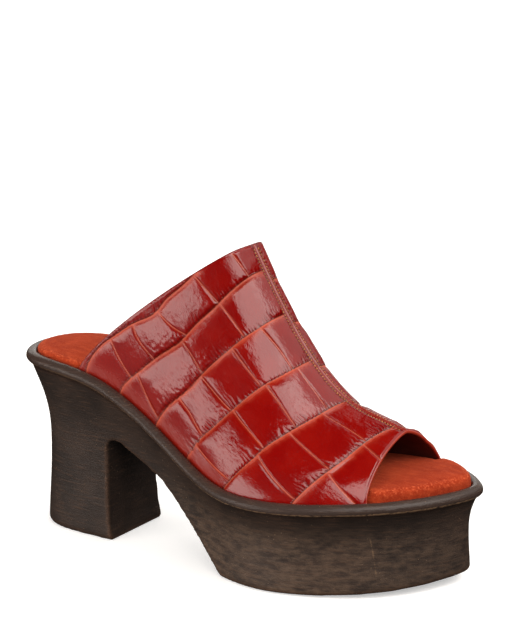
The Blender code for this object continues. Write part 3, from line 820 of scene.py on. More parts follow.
def point_colours(piece, name, values):
    """Stores four numbers for each point."""
    layer = piece.data.attributes.new(name, "FLOAT_COLOR", "POINT")
    layer.data.foreach_set("color", np.asarray(values, np.float32).ravel())


def point_map(piece, name, values):
    """Stores a UV map from one pair of numbers for each point."""
    layer = piece.data.uv_layers.new(name=name)
    corner = np.empty(len(piece.data.loops), int)
    piece.data.loops.foreach_get("vertex_index", corner)
    layer.data.foreach_set("uv", np.asarray(values, np.float32)[corner].ravel())


def rolled_edge(row, normal, outward, wall):
    """Rows of points that roll the leather's cut edge from its outer face to its lining."""
    rolled = []
    for turn in np.radians(ROLL_TURNS):
        round_edge = outward * (ROLL_REACH * wall * np.sin(turn))
        rolled.append(row + round_edge - normal * (wall * (1.0 - np.cos(turn)) / 2.0))
    return rolled


def unit(vectors):
    """The vectors at length one."""
    return vectors / np.linalg.norm(vectors, axis=-1, keepdims=True)


def make_panels(leather, thread):
    """The two embossed panels of the upper and the stitching beside their seam."""
    plain = [panel_grid(side, PANEL_ROWS, PANEL_COLUMNS) for side in (-1, 1)]
    normals = [grid_normals(grid, side) for grid, side in zip(plain, (-1, 1))]
    ridge_normal = unit(normals[0][:, 2] + normals[1][:, 2])
    pieces = []
    for grid, normal, side, name in zip(plain, normals, (-1, 1), ("outer_panel", "inner_panel")):
        share = smooth_step(np.arange(PANEL_COLUMNS), 0, RIDGE_BLEND_COLUMNS)[None, :, None]
        normal = unit(normal * share + ridge_normal[:, None] * (1.0 - share))
        height, marks, chart = emboss(grid, normal, side)
        face = grid + normal * height[:, :, None]
        throat = rolled_edge(face[0], normal[0], unit(grid[0] - grid[1]), UPPER_WALL)
        toe = rolled_edge(face[-1], normal[-1], unit(grid[-1] - grid[-2]), UPPER_WALL)
        sheet = np.array(throat[::-1] + list(face) + toe)
        tuck = sheet[:, -1:].copy()
        tuck[:, :, 2] = bead_height(tuck[:, :, 0].ravel())[:, None] - SEAT_DEPTH + CLEARANCE
        sheet = np.concatenate((sheet, tuck), axis=1)
        extra = len(throat)
        marks = np.pad(marks, ((extra, extra), (0, 1), (0, 0)), mode="edge")
        marks[:extra, :, :3] = THROAT_MARKS
        marks[-extra:, :, :3] = TOE_MARKS
        marks[-extra // 2:, :, :3] = TOE_PAINTED_SHADE_MARKS
        chart = np.pad(chart, ((extra, extra), (0, 1), (0, 0)), mode="edge")
        rows, columns = sheet.shape[:2]
        piece = make_piece(name, sheet.reshape(-1, 3), grid_faces(rows, columns, flip=side < 0), leather)
        point_colours(piece, "scale_marks", marks.reshape(-1, 4))
        point_map(piece, "leather", chart.reshape(-1, 2))
        pieces.append(piece)
        pieces.append(make_stitches(name.replace("panel", "stitches"), face, normal, grid, thread))
    return pieces


def capsule():
    """One stitch lying along x, a little flat: a rounded rod of unit length."""
    points = []
    for along, radius in STITCH_RINGS:
        for k in range(STITCH_SIDES):
            turn = 2.0 * np.pi * k / STITCH_SIDES
            points.append((along, 0.5 * radius * np.cos(turn), 0.5 * radius * np.sin(turn)))
    return np.array(points), np.array(grid_faces(len(STITCH_RINGS), STITCH_SIDES, flip=True, closed=True))


def make_stitches(name, face, normal, grid, thread):
    """A row of stitches laid in the channel beside the seam."""
    arc = np.linalg.norm(np.diff(grid, axis=1), axis=2).sum(axis=1)
    spot = STITCH_LINE / arc * (PANEL_COLUMNS - 1)
    whole = spot.astype(int)
    part = (spot - whole)[:, None]
    rows = np.arange(len(face))
    line = face[rows, whole] * (1.0 - part) + face[rows, whole + 1] * part
    up = unit(normal[rows, whole])
    reach = running_length(line)
    places = np.arange(FIRST_STITCH, reach[-1] - LAST_STITCH, STITCH_PITCH)
    centre = read_line(line, reach, places)
    ahead = read_line(line, reach, places + 0.6 * MM)
    lift = unit(read_line(up, reach, places))
    way = unit(ahead - centre)
    across = unit(np.cross(lift, way))
    shape, quads = capsule()
    points = centre[:, None] + lift[:, None] * STITCH_LIFT
    for k, direction in enumerate((way, across, lift)):
        points = points + shape[None, :, k:k + 1] * STITCH_SIZE[k] * direction[:, None]
    faces = (quads[None] + np.arange(len(centre))[:, None, None] * len(shape)).reshape(-1, 4)
    piece = make_piece(name, points.reshape(-1, 3), faces.tolist(), thread)
    close_ends(piece)
    return piece


def close_ends(piece):
    """Merges doubled points and turns all faces outward."""
    mesh = bmesh.new()
    mesh.from_mesh(piece.data)
    bmesh.ops.remove_doubles(mesh, verts=mesh.verts, dist=0.01 * MM)
    bmesh.ops.recalc_face_normals(mesh, faces=mesh.faces)
    mesh.to_mesh(piece.data)
    mesh.free()
    piece.data.shade_smooth()


def inner_faces():
    """The inner face of the upper's wall on both sides, as coarse grids from ridge to foot."""
    faces = []
    for side in (-1, 1):
        grid = panel_grid(side, LINING_ROWS, LINING_COLUMNS)
        faces.append(grid - grid_normals(grid, side) * UPPER_WALL)
    ridge = (faces[0][:, :1] + faces[1][:, :1]) / 2.0
    return [np.concatenate((ridge, face[:, 1:]), axis=1) for face in faces]


def make_lining(inside, material):
    """The smooth lining: one sheet from the outer foot over the ridge to the inner foot."""
    outer, inner = inside
    sheet = np.concatenate((outer[:, ::-1], inner[:, 1:]), axis=1)
    feet = []
    for edge in (0, -1):
        foot = sheet[:, edge:edge + 1 or None].copy()
        foot[:, :, 2] = bead_height(foot[:, :, 0].ravel())[:, None] - SEAT_DEPTH + CLEARANCE
        feet.append(foot)
    sheet = np.concatenate((feet[0], sheet, feet[1]), axis=1)
    rows, columns = sheet.shape[:2]
    piece = make_piece("lining", sheet.reshape(-1, 3), grid_faces(rows, columns, flip=True), material)
    arc = np.cumsum(np.linalg.norm(np.diff(sheet, axis=1, prepend=sheet[:, :1]), axis=2), axis=1)
    along = np.repeat(np.linspace(0.0, CHART_LENGTH, rows)[:, None], columns, 1)
    point_map(piece, "leather", np.stack((arc, along), 2).reshape(-1, 2))
    return piece


def lining_inset(rows, side, share):
    """Inset of the lining along one side, some share up the insole's edge."""
    places = []
    for row in rows:
        edge = read_side(side, row[:, 0])
        inset = np.sum((edge[:, :2] - row[:, :2]) * edge[:, 2:4], axis=1)
        height = (row[:, 2] - bead_height(row[:, 0])) / insole_rise(row[:, 0])
        places.append((np.interp(share, height, row[:, 0]), np.interp(share, height, inset)))
    return np.array(places).T


def insole_inset(stations, inside, share):
    """Inset of the insole's edge: to the bead, and clear of the lining where that stands."""
    x = stations[:, 0]
    inset = np.full(len(x), BEAD_WIDTH + CLEARANCE)
    for k, (way, side) in enumerate(((-1.0, OUTER_SIDE), (1.0, INNER_SIDE))):
        rows = inside[k][:, :LINING_COLUMNS // 2 - 1:-1]
        back = SECTIONS[0][k] * LENGTH
        front = SECTIONS[-1][k] * LENGTH
        covered = smooth_step(x, back - 2.0 * RAMP, back - RAMP)
        covered *= 1.0 - smooth_step(x, front + RAMP, front + 2.0 * RAMP)
        behind = np.interp(x, *lining_inset(rows, side, share)) + 0.5 * SIDE_CLEARANCE
        stepped = inset + covered * (np.maximum(behind, inset) - inset)
        inset = np.where(stations[:, 3] * way > 0.0, stepped, inset)
    return inset


def moved_in(stations, inset):
    """The stations' points moved inward from the outline."""
    return stations[:, :2] - stations[:, 2:4] * np.reshape(inset, (-1, 1))


def make_insole(inside, material):
    """The padded footbed: a soft rounded edge, a crowned top and a suede nap."""
    stations = ring_stations(INSOLE_STATIONS)
    rings = []
    foot = insole_inset(stations, inside, 0.0)
    for inset, rise in ((foot, CLEARANCE - SEAT_DEPTH), (foot, 0.0)):
        flat = moved_in(stations, inset)
        rings.append(np.column_stack((flat, bead_height(flat[:, 0]) + rise)))
    for inward, drop in INSOLE_EDGE[::-1]:
        share = 1.0 - drop * INSOLE_ROUND / INSOLE_RISE
        inset = insole_inset(stations, inside, share) + inward * INSOLE_ROUND
        flat = moved_in(stations, inset)
        rings.append(np.column_stack((flat, bead_height(flat[:, 0]) + share * insole_rise(flat[:, 0]))))
    top = rings[-1]
    half = len(top) // 2
    mirror = np.concatenate(((0,), np.arange(len(top) - 1, half, -1), (half,), np.arange(half - 1, 0, -1)))
    spine = (top + top[mirror]) / 2.0
    width = np.linalg.norm(top - top[mirror], axis=1)
    for share in np.linspace(0.0, 1.0, INSOLE_RINGS + 1)[1:]:
        ring = top * (1.0 - share) + spine * share
        ring[:, 2] += INSOLE_CROWN * (1.0 - (1.0 - share) ** 2) * np.minimum(1.0, width / (BALL_WIDTH / 2.0))
        rings.append(ring)
    sheet = np.array(rings)
    flat_points = sheet.reshape(-1, 3).copy()
    ring = np.repeat(np.arange(len(sheet)), len(stations))
    level = np.clip((ring - NAP_START_RING) / NAP_RINGS, 0.0, 1.0)
    flat_points[:, 2] += NAP_HEIGHT * waves(flat_points, *NAP_SIZES) * level
    edge = np.clip(1.0 - np.abs(ring - RUBBED_RING) / RUBBED_RINGS, 0.0, 1.0)
    faces = grid_faces(len(sheet), len(stations), flip=True, closed=True)
    faces.append(list(range(len(stations)))[::-1])
    piece = make_piece("suede_insole", flat_points, faces, material)
    point_colours(piece, "suede_marks", np.column_stack((edge, level, edge, level)))
    close_ends(piece)
    return piece


def sole_rings():
    """Rings from the seat of the sole over the bead and down the wall to the tread."""
    stations = ring_stations(SOLE_STATIONS)
    bead = np.array(BEAD)
    places = np.linspace(0.0, len(bead) - 1.0, SOLE_BEAD_RINGS)
    inset = spline(np.arange(len(bead)), bead[:, 0], places) * BEAD_WIDTH
    rise = spline(np.arange(len(bead)), bead[:, 1], places) * BEAD_HEIGHT
    rings = []
    for one_inset, one_rise in zip(np.append(BEAD_WIDTH, inset), np.append(-SEAT_DEPTH, rise)):
        flat = moved_in(stations, one_inset)
        rings.append(np.column_stack((flat, bead_height(flat[:, 0]) + one_rise)))
    wall = np.array(WALL)
    down = np.linspace(wall[0, 0], wall[-1, 0], SOLE_WALL_RINGS)
    for one_down, share in zip(down, spline(wall[:, 0], wall[:, 1], down)):
        flat = moved_in(stations, stations[:, 4] * share)
        top = bead_height(flat[:, 0])
        rings.append(np.column_stack((flat, top + (tread_height(flat[:, 0]) - top) * one_down)))
    flat = moved_in(stations, stations[:, 4] + EDGE_ROUND)
    rings.append(np.column_stack((flat, tread_height(flat[:, 0]))))
    return np.array(rings)


def shank_cutter():
    """The gap under the shank, carried across the shoe."""
    breast = [(BREAST_ALONG + flare * BREAST_FLARE, height) for flare, height in BREAST]
    arch = np.array(ARCH)
    steps = running_length(arch * (ARCH_STRETCH, 1.0))
    places = np.linspace(0.0, steps[-1], ARCH_STEPS)
    arch = np.stack([spline(steps, column, places) for column in arch.T], 1)
    sides = []
    for y in np.linspace(-CUTTER_HALF_WIDTH, CUTTER_HALF_WIDTH, CUTTER_COLUMNS):
        side = list(breast)
        for along, height in arch:
            slant = TREAD_SKEW * y / BALL_WIDTH * (1.0 - height)
            bow = TREAD_BOW * (2.0 * y / BALL_WIDTH) ** 4 * (1.0 - height) ** 2
            side.append((along * LENGTH + slant + bow, height))
        side.append((side[-1][0], BREAST[0][1]))
        sides.append([(x, y, height * ARCH_CLEAR) for x, height in side])
    sides = np.array(sides)
    faces = grid_faces(*sides.shape[:2], closed=True)
    last = len(sides) * sides.shape[1]
    faces.append(list(range(sides.shape[1])))
    faces.append(list(range(last - sides.shape[1], last))[::-1])
    piece = make_piece("shank_cutter", sides.reshape(-1, 3), faces)
    close_ends(piece)
    return piece


def apply_modifiers(piece):
    """Applies every modifier of a piece in turn."""
    bpy.ops.object.select_all(action="DESELECT")
    piece.select_set(True)
    bpy.context.view_layer.objects.active = piece
    for modifier in list(piece.modifiers):
        bpy.ops.object.modifier_apply(modifier=modifier.name)
    piece.select_set(False)


def make_sole(material):
    """The moulded unit: heel, shank, platform and bead, with its edges softly rounded."""
    sheet = sole_rings()
    rows, columns = sheet.shape[:2]
    faces = grid_faces(rows, columns, closed=True)
    for first, flip in ((0, False), ((rows - 1) * columns, True)):
        half = columns // 2
        for i in range(half):
            outer_pair = (first + i, first + i + 1)
            inner_pair = (first + (columns - i - 1) % columns, first + (columns - i) % columns)
            face = list(dict.fromkeys(outer_pair + inner_pair))
            faces.append(face[::-1] if flip else face)
    piece = make_piece("moulded_sole", sheet.reshape(-1, 3), faces, material)
    close_ends(piece)
    cutter = shank_cutter()
    cut = piece.modifiers.new("gap under the shank", "BOOLEAN")
    cut.operation = "DIFFERENCE"
    cut.solver = "EXACT"
    cut.object = cutter
    soften = piece.modifiers.new("soft edges", "REMESH")
    soften.mode = "VOXEL"
    soften.voxel_size = SOLE_VOXEL
    soften.use_smooth_shade = True
    relax = piece.modifiers.new("even skin", "SMOOTH")
    relax.factor = 0.5
    relax.iterations = 4
    apply_modifiers(piece)
    bpy.data.objects.remove(cutter, do_unlink=True)
    mark_sole(piece)
    return piece


def mark_sole(piece):
    """Marks of the sole at each point: the bead's crest for a painted highlight, the crease under the bead,
    worn edges.
    """
    mesh = piece.data
    count = len(mesh.vertices)
    points = np.empty(count * 3)
    mesh.vertices.foreach_get("co", points)
    points = points.reshape(-1, 3) + (MIDDLE[0], MIDDLE[1], 0.0)
    normals = np.empty(count * 3)
    mesh.vertices.foreach_get("normal", normals)
    normals = normals.reshape(-1, 3)
    pairs = np.empty(len(mesh.edges) * 2, int)
    mesh.edges.foreach_get("vertices", pairs)
    pairs = pairs.reshape(-1, 2)
    bend = np.zeros(count)
    ways = points[pairs[:, 1]] - points[pairs[:, 0]]
    turn = np.sum((normals[pairs[:, 1]] - normals[pairs[:, 0]]) * ways, axis=1) / np.sum(ways * ways, axis=1)
    degree = np.bincount(pairs.ravel(), minlength=count)
    for k in (0, 1):
        bend += np.bincount(pairs[:, k], turn, minlength=count)
    bend /= degree
    for _ in range(BEND_ROUNDS):
        total = np.bincount(pairs[:, 0], bend[pairs[:, 1]], minlength=count)
        total += np.bincount(pairs[:, 1], bend[pairs[:, 0]], minlength=count)
        bend = (1.0 - BEND_SHARE) * bend + BEND_SHARE * total / degree
    top = bead_height(points[:, 0])
    under = top - BEAD_HEIGHT - points[:, 2]
    crease = fall(under + CREASE_LIFT, CREASE_WIDTH)
    # The crest mark carries a painted highlight
    crest = np.clip(bend / CREST_BEND, 0.0, 1.0) * smooth_step(-under, 0.0, 2.0 * MM)
    worn = smooth_step(bend, *WORN_BEND) * smooth_step(under, 0.5 * MM, 3.0 * MM)
    down = np.clip(under / np.maximum(top - BEAD_HEIGHT, MM), 0.0, 1.0)
    point_colours(piece, "sole_marks", np.stack((crease, crest, worn, down), 1))


def node(tree, kind, sockets=None, **settings):
    """A node with its settings, and values or links for its input sockets."""
    made = tree.nodes.new(kind)
    for key, value in settings.items():
        setattr(made, key, value)
    for key, value in (sockets or {}).items():
        if isinstance(value, bpy.types.NodeSocket):
            tree.links.new(value, made.inputs[key])
        else:
            made.inputs[key].default_value = value
    return made


def calc(tree, operation, *values, clamp=False):
    """The result of one sum over values or sockets."""
    sockets = dict(enumerate(values))
    return node(tree, "ShaderNodeMath", sockets, operation=operation, use_clamp=clamp).outputs[0]


def times(tree, first, second, clamp=False):
    """The product of two values or sockets."""
    return calc(tree, "MULTIPLY", first, second, clamp=clamp)


def weighed(tree, start, *parts):
    """A start value plus each mask times its amount."""
    total = start
    for mask, amount in parts:
        total = calc(tree, "ADD", total, times(tree, mask, amount))
    return total


def blend(tree, share, first, second):
    """A colour mixed from two by a share."""
    mix = node(tree, "ShaderNodeMix", {"Factor": share}, data_type="RGBA")
    for socket, value in ((mix.inputs[6], first), (mix.inputs[7], second)):
        if isinstance(value, bpy.types.NodeSocket):
            tree.links.new(value, socket)
        else:
            socket.default_value = (*value, 1.0)
    return mix.outputs[2]


def coated(tree, colour, *coats):
    """A colour with coats laid over it, each a mask, an amount and the coat's colour."""
    for mask, amount, coat in coats:
        colour = blend(tree, times(tree, mask, amount), colour, coat)
    return colour


def ramp(tree, value, low, high):
    """A value mapped smoothly to 0 at the low end and 1 at the high end."""
    made = node(tree, "ShaderNodeMapRange", {"Value": value, "From Min": low, "From Max": high},
                interpolation_type="SMOOTHSTEP")
    return made.outputs["Result"]


def noise(tree, place, scale, detail=3.0, rough=0.55):
    """Soft noise at a scale in cycles per metre."""
    made = node(tree, "ShaderNodeTexNoise",
                {"Vector": place, "Scale": scale, "Detail": detail, "Roughness": rough})
    return made.outputs["Fac"]


def stretched(tree, place, size):
    """Coordinates scaled by different amounts along the three ways."""
    return node(tree, "ShaderNodeMapping", {"Vector": place, "Scale": size}).outputs["Vector"]


def read_marks(tree, name):
    """The four marks that a piece stores at its points."""
    marks = node(tree, "ShaderNodeAttribute", attribute_name=name).outputs
    parts = node(tree, "ShaderNodeSeparateColor", {"Color": marks["Color"]}).outputs
    return (*parts[:3], marks["Alpha"])


def make_finish(name, **constants):
    """A material with its Principled shader set to the constants of the finish."""
    material = bpy.data.materials.new(name)
    material.use_nodes = True
    tree = material.node_tree
    shader = tree.nodes["Principled BSDF"]
    for key, value in constants.items():
        shader.inputs[key.replace("_", " ")].default_value = value
    place = tree.nodes.new("ShaderNodeTexCoord").outputs["Object"]
    return material, tree, shader, place


def grain_group():
    """Shared grain of the finishes: broad patches, fine grain and a height for the bump."""
    group = bpy.data.node_groups.new("grain and patches", "ShaderNodeTree")
    for name, kind in (("Place", "NodeSocketVector"), ("Patch Scale", "NodeSocketFloat"),
                       ("Grain Scale", "NodeSocketFloat")):
        group.interface.new_socket(name, in_out="INPUT", socket_type=kind)
    for name in ("Patches", "Grain", "Height"):
        group.interface.new_socket(name, in_out="OUTPUT", socket_type="NodeSocketFloat")
    start = group.nodes.new("NodeGroupInput").outputs
    end = group.nodes.new("NodeGroupOutput")
    patches = noise(group, start["Place"], start["Patch Scale"], 3.0)
    grain = noise(group, start["Place"], start["Grain Scale"], 4.0, 0.6)
    cells = node(group, "ShaderNodeTexVoronoi", {"Vector": start["Place"], "Scale": start["Grain Scale"]},
                 feature="SMOOTH_F1")
    height = weighed(group, grain, (cells.outputs["Distance"], 0.6))
    group.links.new(ramp(group, patches, *PATCH_MASK), end.inputs["Patches"])
    group.links.new(grain, end.inputs["Grain"])
    group.links.new(height, end.inputs["Height"])
    return group


def use_group(tree, group, **sockets):
    """The group placed in a material with its own values."""
    made = node(tree, "ShaderNodeGroup", node_tree=group)
    for key, value in sockets.items():
        socket = made.inputs[key.replace("_", " ")]
        if isinstance(value, bpy.types.NodeSocket):
            tree.links.new(value, socket)
        else:
            socket.default_value = value
    return made.outputs


def bumped(tree, shader, height, distance):
    """Feeds a height into the shader's normal."""
    bump = node(tree, "ShaderNodeBump", {"Height": height, "Distance": distance, "Strength": 1.0})
    tree.links.new(bump.outputs["Normal"], shader.inputs["Normal"])


def embossed_leather(group):
    """Polished embossed leather: deep red scales, orange-red grooves, and painted shade at the puckered
    edges.
    """
    material, tree, shader, place = make_finish("embossed leather", Specular_IOR_Level=0.90)
    line, rim, shade, polish = read_marks(tree, "scale_marks")
    grain = use_group(tree, group, Place=place, Patch_Scale=LEATHER_PATCHES, Grain_Scale=LEATHER_GRAIN)
    chart = node(tree, "ShaderNodeUVMap", uv_map="leather").outputs["UV"]
    nicks = noise(tree, stretched(tree, chart, NICK_SCALES), 1.0, 2.0)
    folds = noise(tree, stretched(tree, chart, FOLD_SCALES), 1.0, 4.0, 0.6)
    matt_and_painted_reflection = ramp(tree, polish, *MATT_MASK)
    speckled_rim = times(tree, rim, weighed(tree, 0.55, (nicks, 0.6)), clamp=True)
    colour = coated(
        tree, blend(tree, grain["Patches"], DEEP_RED, WARM_RED),
        # matt leather, with a painted reflection of the pale floor in its colour
        (matt_and_painted_reflection, 0.55, MATT_RED_PAINTED_REFLECTION),
        (speckled_rim, 1.0, RIM_ORANGE),
        (line, 0.90, GROOVE_ORANGE),
        # painted shade in the folds, grooves and stitch channel
        (shade, 0.75, PAINTED_SHADE_COLOUR))
    tree.links.new(colour, shader.inputs["Base Color"])
    rough = weighed(tree, LEATHER_ROUGH, (grain["Grain"], GRAIN_ROUGH), (line, GROOVE_ROUGH),
                    (rim, RIM_ROUGH), (matt_and_painted_reflection, MATT_ROUGH))
    tree.links.new(rough, shader.inputs["Roughness"])
    edge = calc(tree, "MAXIMUM", shade, times(tree, rim, 0.5))
    height = weighed(tree, 0.0, (grain["Height"], 0.08), (times(tree, nicks, edge), 3.0), (folds, 1.6))
    bumped(tree, shader, height, LEATHER_BUMP)
    return material


def suede(group):
    """Brushed orange suede with a dense nap, paler where it is rubbed at the edge."""
    material, tree, shader, place = make_finish(
        "brushed suede", Roughness=1.0, Specular_IOR_Level=0.08, Sheen_Weight=0.05, Sheen_Roughness=0.5,
        Sheen_Tint=(1.0, 0.45, 0.28, 1.0))
    edge = read_marks(tree, "suede_marks")[0]
    grain = use_group(tree, group, Place=place, Patch_Scale=SUEDE_PATCHES, Grain_Scale=SUEDE_GRAIN)
    strokes = noise(tree, stretched(tree, place, STROKE_SCALES), 1.0, 5.0, 0.7)
    specks = noise(tree, place, SPECK_SCALE, 2.0)
    colour = coated(
        tree, blend(tree, grain["Patches"], SUEDE_DARK, SUEDE),
        (ramp(tree, strokes, *BRUSHED_MASK), 1.0, SUEDE_BRUSHED),
        (ramp(tree, grain["Grain"], *FIBRE_MASK), 0.55, SUEDE_FIBRE),
        (times(tree, edge, ramp(tree, specks, *SPECK_MASK)), 1.0, SUEDE_FIBRE))
    tree.links.new(colour, shader.inputs["Base Color"])
    bumped(tree, shader, weighed(tree, grain["Height"], (strokes, 0.8)), SUEDE_BUMP)
    return material


def lining_leather(group):
    """Smooth dark red-brown lining leather."""
    material, tree, shader, place = make_finish("lining leather", Roughness=0.6, Specular_IOR_Level=0.3)
    grain = use_group(tree, group, Place=place, Patch_Scale=LINING_PATCHES, Grain_Scale=LINING_GRAIN)
    tree.links.new(blend(tree, grain["Patches"], LINING_DARK, LINING), shader.inputs["Base Color"])
    tree.links.new(weighed(tree, 0.50, (grain["Grain"], 0.25)), shader.inputs["Roughness"])
    bumped(tree, shader, grain["Height"], LINING_BUMP)
    return material


def waxed_thread(group):
    """Golden-brown waxed thread."""
    material, tree, shader, place = make_finish("waxed thread", Roughness=0.5)
    grain = use_group(tree, group, Place=place, Patch_Scale=THREAD_PATCHES, Grain_Scale=THREAD_GRAIN)
    tree.links.new(blend(tree, grain["Patches"], THREAD_DARK, THREAD), shader.inputs["Base Color"])
    bumped(tree, shader, grain["Height"], THREAD_BUMP)
    return material


def scratch_mask(tree, x, y, z):
    """The long thin scratch on the outer side of the platform."""
    slant = times(tree, calc(tree, "SUBTRACT", SCRATCH_Z, z), SCRATCH_SLOPE)
    across = calc(tree, "ABSOLUTE", calc(tree, "SUBTRACT", calc(tree, "SUBTRACT", x, SCRATCH_X), slant))
    along = calc(tree, "ABSOLUTE", calc(tree, "SUBTRACT", z, SCRATCH_Z))
    outer = calc(tree, "LESS_THAN", y, 0.0)
    length = times(tree, ramp(tree, along, *SCRATCH_ENDS), outer)
    return times(tree, ramp(tree, across, *SCRATCH_WIDTH), length)


def moulded_rubber(group):
    """Dark brown satin unit, brushed and rubbed to a warmer brown that is also painted light along the shank
    and platform wall, with a painted highlight on the bead's crest, fine pits and a scratch.
    """
    material, tree, shader, place = make_finish("moulded sole unit", Specular_IOR_Level=0.45)
    crease, crest, worn, down = read_marks(tree, "sole_marks")
    grain = use_group(tree, group, Place=place, Patch_Scale=SOLE_PATCHES, Grain_Scale=SOLE_GRAIN)
    brush = noise(tree, stretched(tree, place, BRUSH_SCALES), 1.0, 4.0)
    mottle = noise(tree, stretched(tree, place, MOTTLE_SCALES), 1.0, 5.0, 0.7)
    x, y, z = node(tree, "ShaderNodeSeparateXYZ", {"Vector": place}).outputs
    platform_wear_and_painted_light = times(tree, ramp(tree, x, *PLATFORM_BACK), ramp(tree, x, *PLATFORM_FRONT))
    rubbed = times(tree, ramp(tree, down, *RUBBED_DOWN), ramp(tree, mottle, *RUBBED_MOTTLE))
    chips = ramp(tree, noise(tree, place, CHIP_SCALE, 4.0, 0.7), *CHIP_MASK)
    toward_toe = weighed(tree, 0.35, (ramp(tree, x, *CREASE_ALONG), 0.65))
    golden = times(tree, times(tree, ramp(tree, crease, *CREASE_MASK), toward_toe), chips)
    pits = node(tree, "ShaderNodeTexVoronoi", {"Vector": place, "Scale": PIT_SCALE, "Randomness": 1.0})
    pit = times(tree, ramp(tree, pits.outputs["Distance"], *PIT_MASK),
                ramp(tree, noise(tree, place, PIT_PATCHES, 2.0), *PIT_PATCH_MASK))
    colour = coated(
        tree, blend(tree, grain["Patches"], SOLE_DARK, SOLE_BROWN),
        (ramp(tree, down, *BEAD_MASK), 0.70, SOLE_BEAD),
        # rubbed wear, and painted light over the shank and platform wall
        (times(tree, platform_wear_and_painted_light, rubbed), 0.72, SOLE_RUBBED_AND_PAINTED_LIGHT),
        (ramp(tree, brush, *WARM_MASK), 0.40, SOLE_WARM),
        (times(tree, worn, ramp(tree, grain["Grain"], *WORN_GRAIN)), 0.85, SOLE_WARM),
        (golden, 0.95, SOLE_GOLD),
        # painted highlight on the bead's crest
        (crest, 0.22, SOLE_PAINTED_HIGHLIGHT),
        (pit, 0.60, SOLE_GOLD),
        (times(tree, scratch_mask(tree, x, y, z), ramp(tree, mottle, *SCRATCH_MOTTLE)), 0.35, SOLE_GOLD))
    tree.links.new(colour, shader.inputs["Base Color"])
    rough = weighed(tree, 0.25, (brush, 0.18), (ramp(tree, down, *WALL_MASK), 0.16), (crest, -0.16))
    tree.links.new(rough, shader.inputs["Roughness"])
    height = weighed(tree, 0.0, (grain["Height"], 0.7), (brush, 1.0), (mottle, 1.2), (pit, -1.5))
    bumped(tree, shader, height, SOLE_BUMP)
    return material


def make_floor():
    """A plain pale floor, evenly bright out to where the soft boxes no longer reach."""
    bpy.ops.object.select_all(action="DESELECT")
    bpy.ops.mesh.primitive_plane_add(size=FLOOR_SIZE, location=centred((0.0, 0.0, -FLOOR_DROP)))
    floor = bpy.context.object
    floor.name = "floor"
    bpy.ops.object.transform_apply(location=True, rotation=False, scale=False)
    floor.select_set(False)
    material, tree, shader, place = make_finish(
        "pale floor", Roughness=0.9, Specular_IOR_Level=0.1, Base_Color=FLOOR_WHITE,
        Emission_Color=FLOOR_WHITE)
    reach = node(tree, "ShaderNodeVectorMath", {0: place}, operation="LENGTH").outputs["Value"]
    glow = weighed(tree, FLOOR_GLOW, (ramp(tree, reach, *FLOOR_FAR), FLOOR_FAR_GLOW))
    tree.links.new(glow, shader.inputs["Emission Strength"])
    floor.data.materials.append(material)
    floor.visible_glossy = False
    floor.visible_diffuse = False


def aimed(place, target):
    """A matrix at a place that looks at a target."""
    back = unit(np.array(place, float) - target)
    right = unit(np.cross((0.0, 0.0, 1.0), back))
    up = np.cross(back, right)
    matrix = np.eye(4)
    matrix[:3, :4] = np.stack((right, up, back, place), 1)
    return Matrix(matrix.tolist())


def make_soft_boxes():
    """Soft boxes on both sides of the shoe. The fills light it without showing in the gloss."""
    for name, turn, rise, reach, size, power, in_gloss in SOFT_BOXES:
        turn, rise = np.radians((turn, rise))
        place = np.array((np.cos(rise) * np.cos(turn), np.cos(rise) * np.sin(turn), np.sin(rise))) * reach
        light = bpy.data.lights.new(name, "AREA")
        light.shape = "RECTANGLE"
        light.size, light.size_y = size
        light.energy = power
        light.color = WARM_WHITE
        lamp = bpy.data.objects.new(name, light)
        lamp.matrix_world = aimed(place + SHOE_MIDDLE, SHOE_MIDDLE)
        lamp.visible_camera = False
        lamp.visible_glossy = in_gloss
        bpy.context.scene.collection.objects.link(lamp)


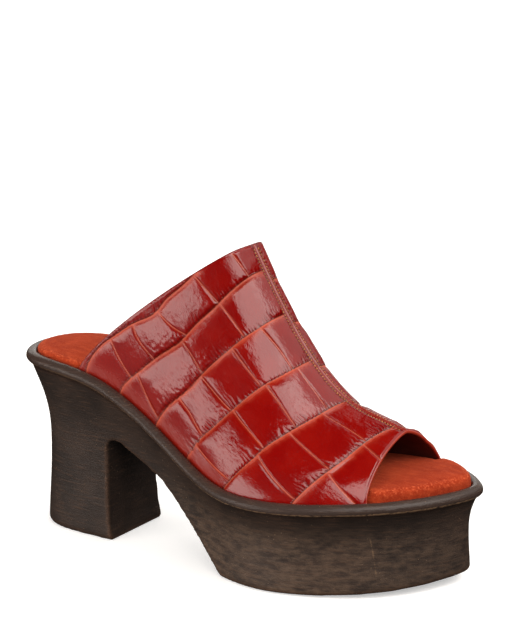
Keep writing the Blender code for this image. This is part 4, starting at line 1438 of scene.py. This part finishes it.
def make_surround():
    """A surround that is white to look at, dim as a light, and dark in the gloss but for two patches."""
    world = bpy.data.worlds.new("studio")
    world.use_nodes = True
    tree = world.node_tree
    path = tree.nodes.new("ShaderNodeLightPath").outputs
    way = tree.nodes.new("ShaderNodeTexCoord").outputs["Generated"]
    ahead, across, rise = node(tree, "ShaderNodeSeparateXYZ", {"Vector": way}).outputs
    low = ramp(tree, rise, *LOW_MASK)
    behind_left = weighed(tree, 0.0, (ahead, LOW_GLOSS_WAY[0]), (across, LOW_GLOSS_WAY[1]))
    low_patch = times(tree, low, ramp(tree, behind_left, *LOW_GLOSS_MASK))
    past = node(tree, "ShaderNodeVectorMath", {0: way, 1: PAST_THE_SHOE}, operation="DOT_PRODUCT")
    edge_patch = ramp(tree, past.outputs["Value"], *EDGE_GLOSS_MASK)
    fill = weighed(tree, SURROUND_FILL, (low, SURROUND_LOW_FILL - SURROUND_FILL))
    gloss = weighed(tree, SURROUND_GLOSS, (low_patch, SURROUND_LOW_GLOSS), (edge_patch, SURROUND_EDGE_GLOSS))
    strength = weighed(tree, fill, (path["Is Glossy Ray"], calc(tree, "SUBTRACT", gloss, fill)),
                       (path["Is Camera Ray"], SURROUND_SEEN))
    tree.links.new(strength, tree.nodes["Background"].inputs["Strength"])
    tint = blend(tree, path["Is Camera Ray"], SURROUND_TINT, (1.0, 1.0, 1.0))
    tree.links.new(tint, tree.nodes["Background"].inputs["Color"])
    bpy.context.scene.world = world
    bpy.context.scene.view_settings.view_transform = "Standard"


def make_camera():
    """The camera at the photograph's angle."""
    turn = np.radians(CAMERA_TURN)
    drop = np.radians(CAMERA_DROP)
    back = np.array((np.sin(turn) * np.cos(drop), -np.cos(turn) * np.cos(drop), np.sin(drop)))
    right = np.array((np.cos(turn), np.sin(turn), 0.0))
    matrix = np.eye(4)
    matrix[:3, :4] = np.stack((right, np.cross(back, right), back, centred(CAMERA_PLACE)), 1)
    data = bpy.data.cameras.new("camera")
    data.lens = CAMERA_LENS
    data.sensor_width = 36.0
    data.clip_end = 50.0
    camera = bpy.data.objects.new("camera", data)
    camera.matrix_world = Matrix(matrix.tolist())
    bpy.context.scene.collection.objects.link(camera)
    bpy.context.scene.camera = camera


def main():
    """Makes the pieces, ties each to its body and hides the solids that they replace."""
    group = grain_group()
    leather = embossed_leather(group)
    lining_finish = lining_leather(group)
    make_camera()
    make_soft_boxes()
    make_surround()
    make_floor()

    upper = make_panels(leather, waxed_thread(group))
    inside = inner_faces()
    upper.append(make_lining(inside, lining_finish))
    insole = make_insole(inside, suede(group))
    sole = make_sole(moulded_rubber(group))

    for piece in upper + [insole, sole]:
        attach(piece, "root")
    for piece in upper:
        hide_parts("upper")
    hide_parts("insole")
    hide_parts("sole_unit")


def plain(box):
    """A box as lists of plain numbers."""
    return [[float(value) for value in corner] for corner in box]


main()
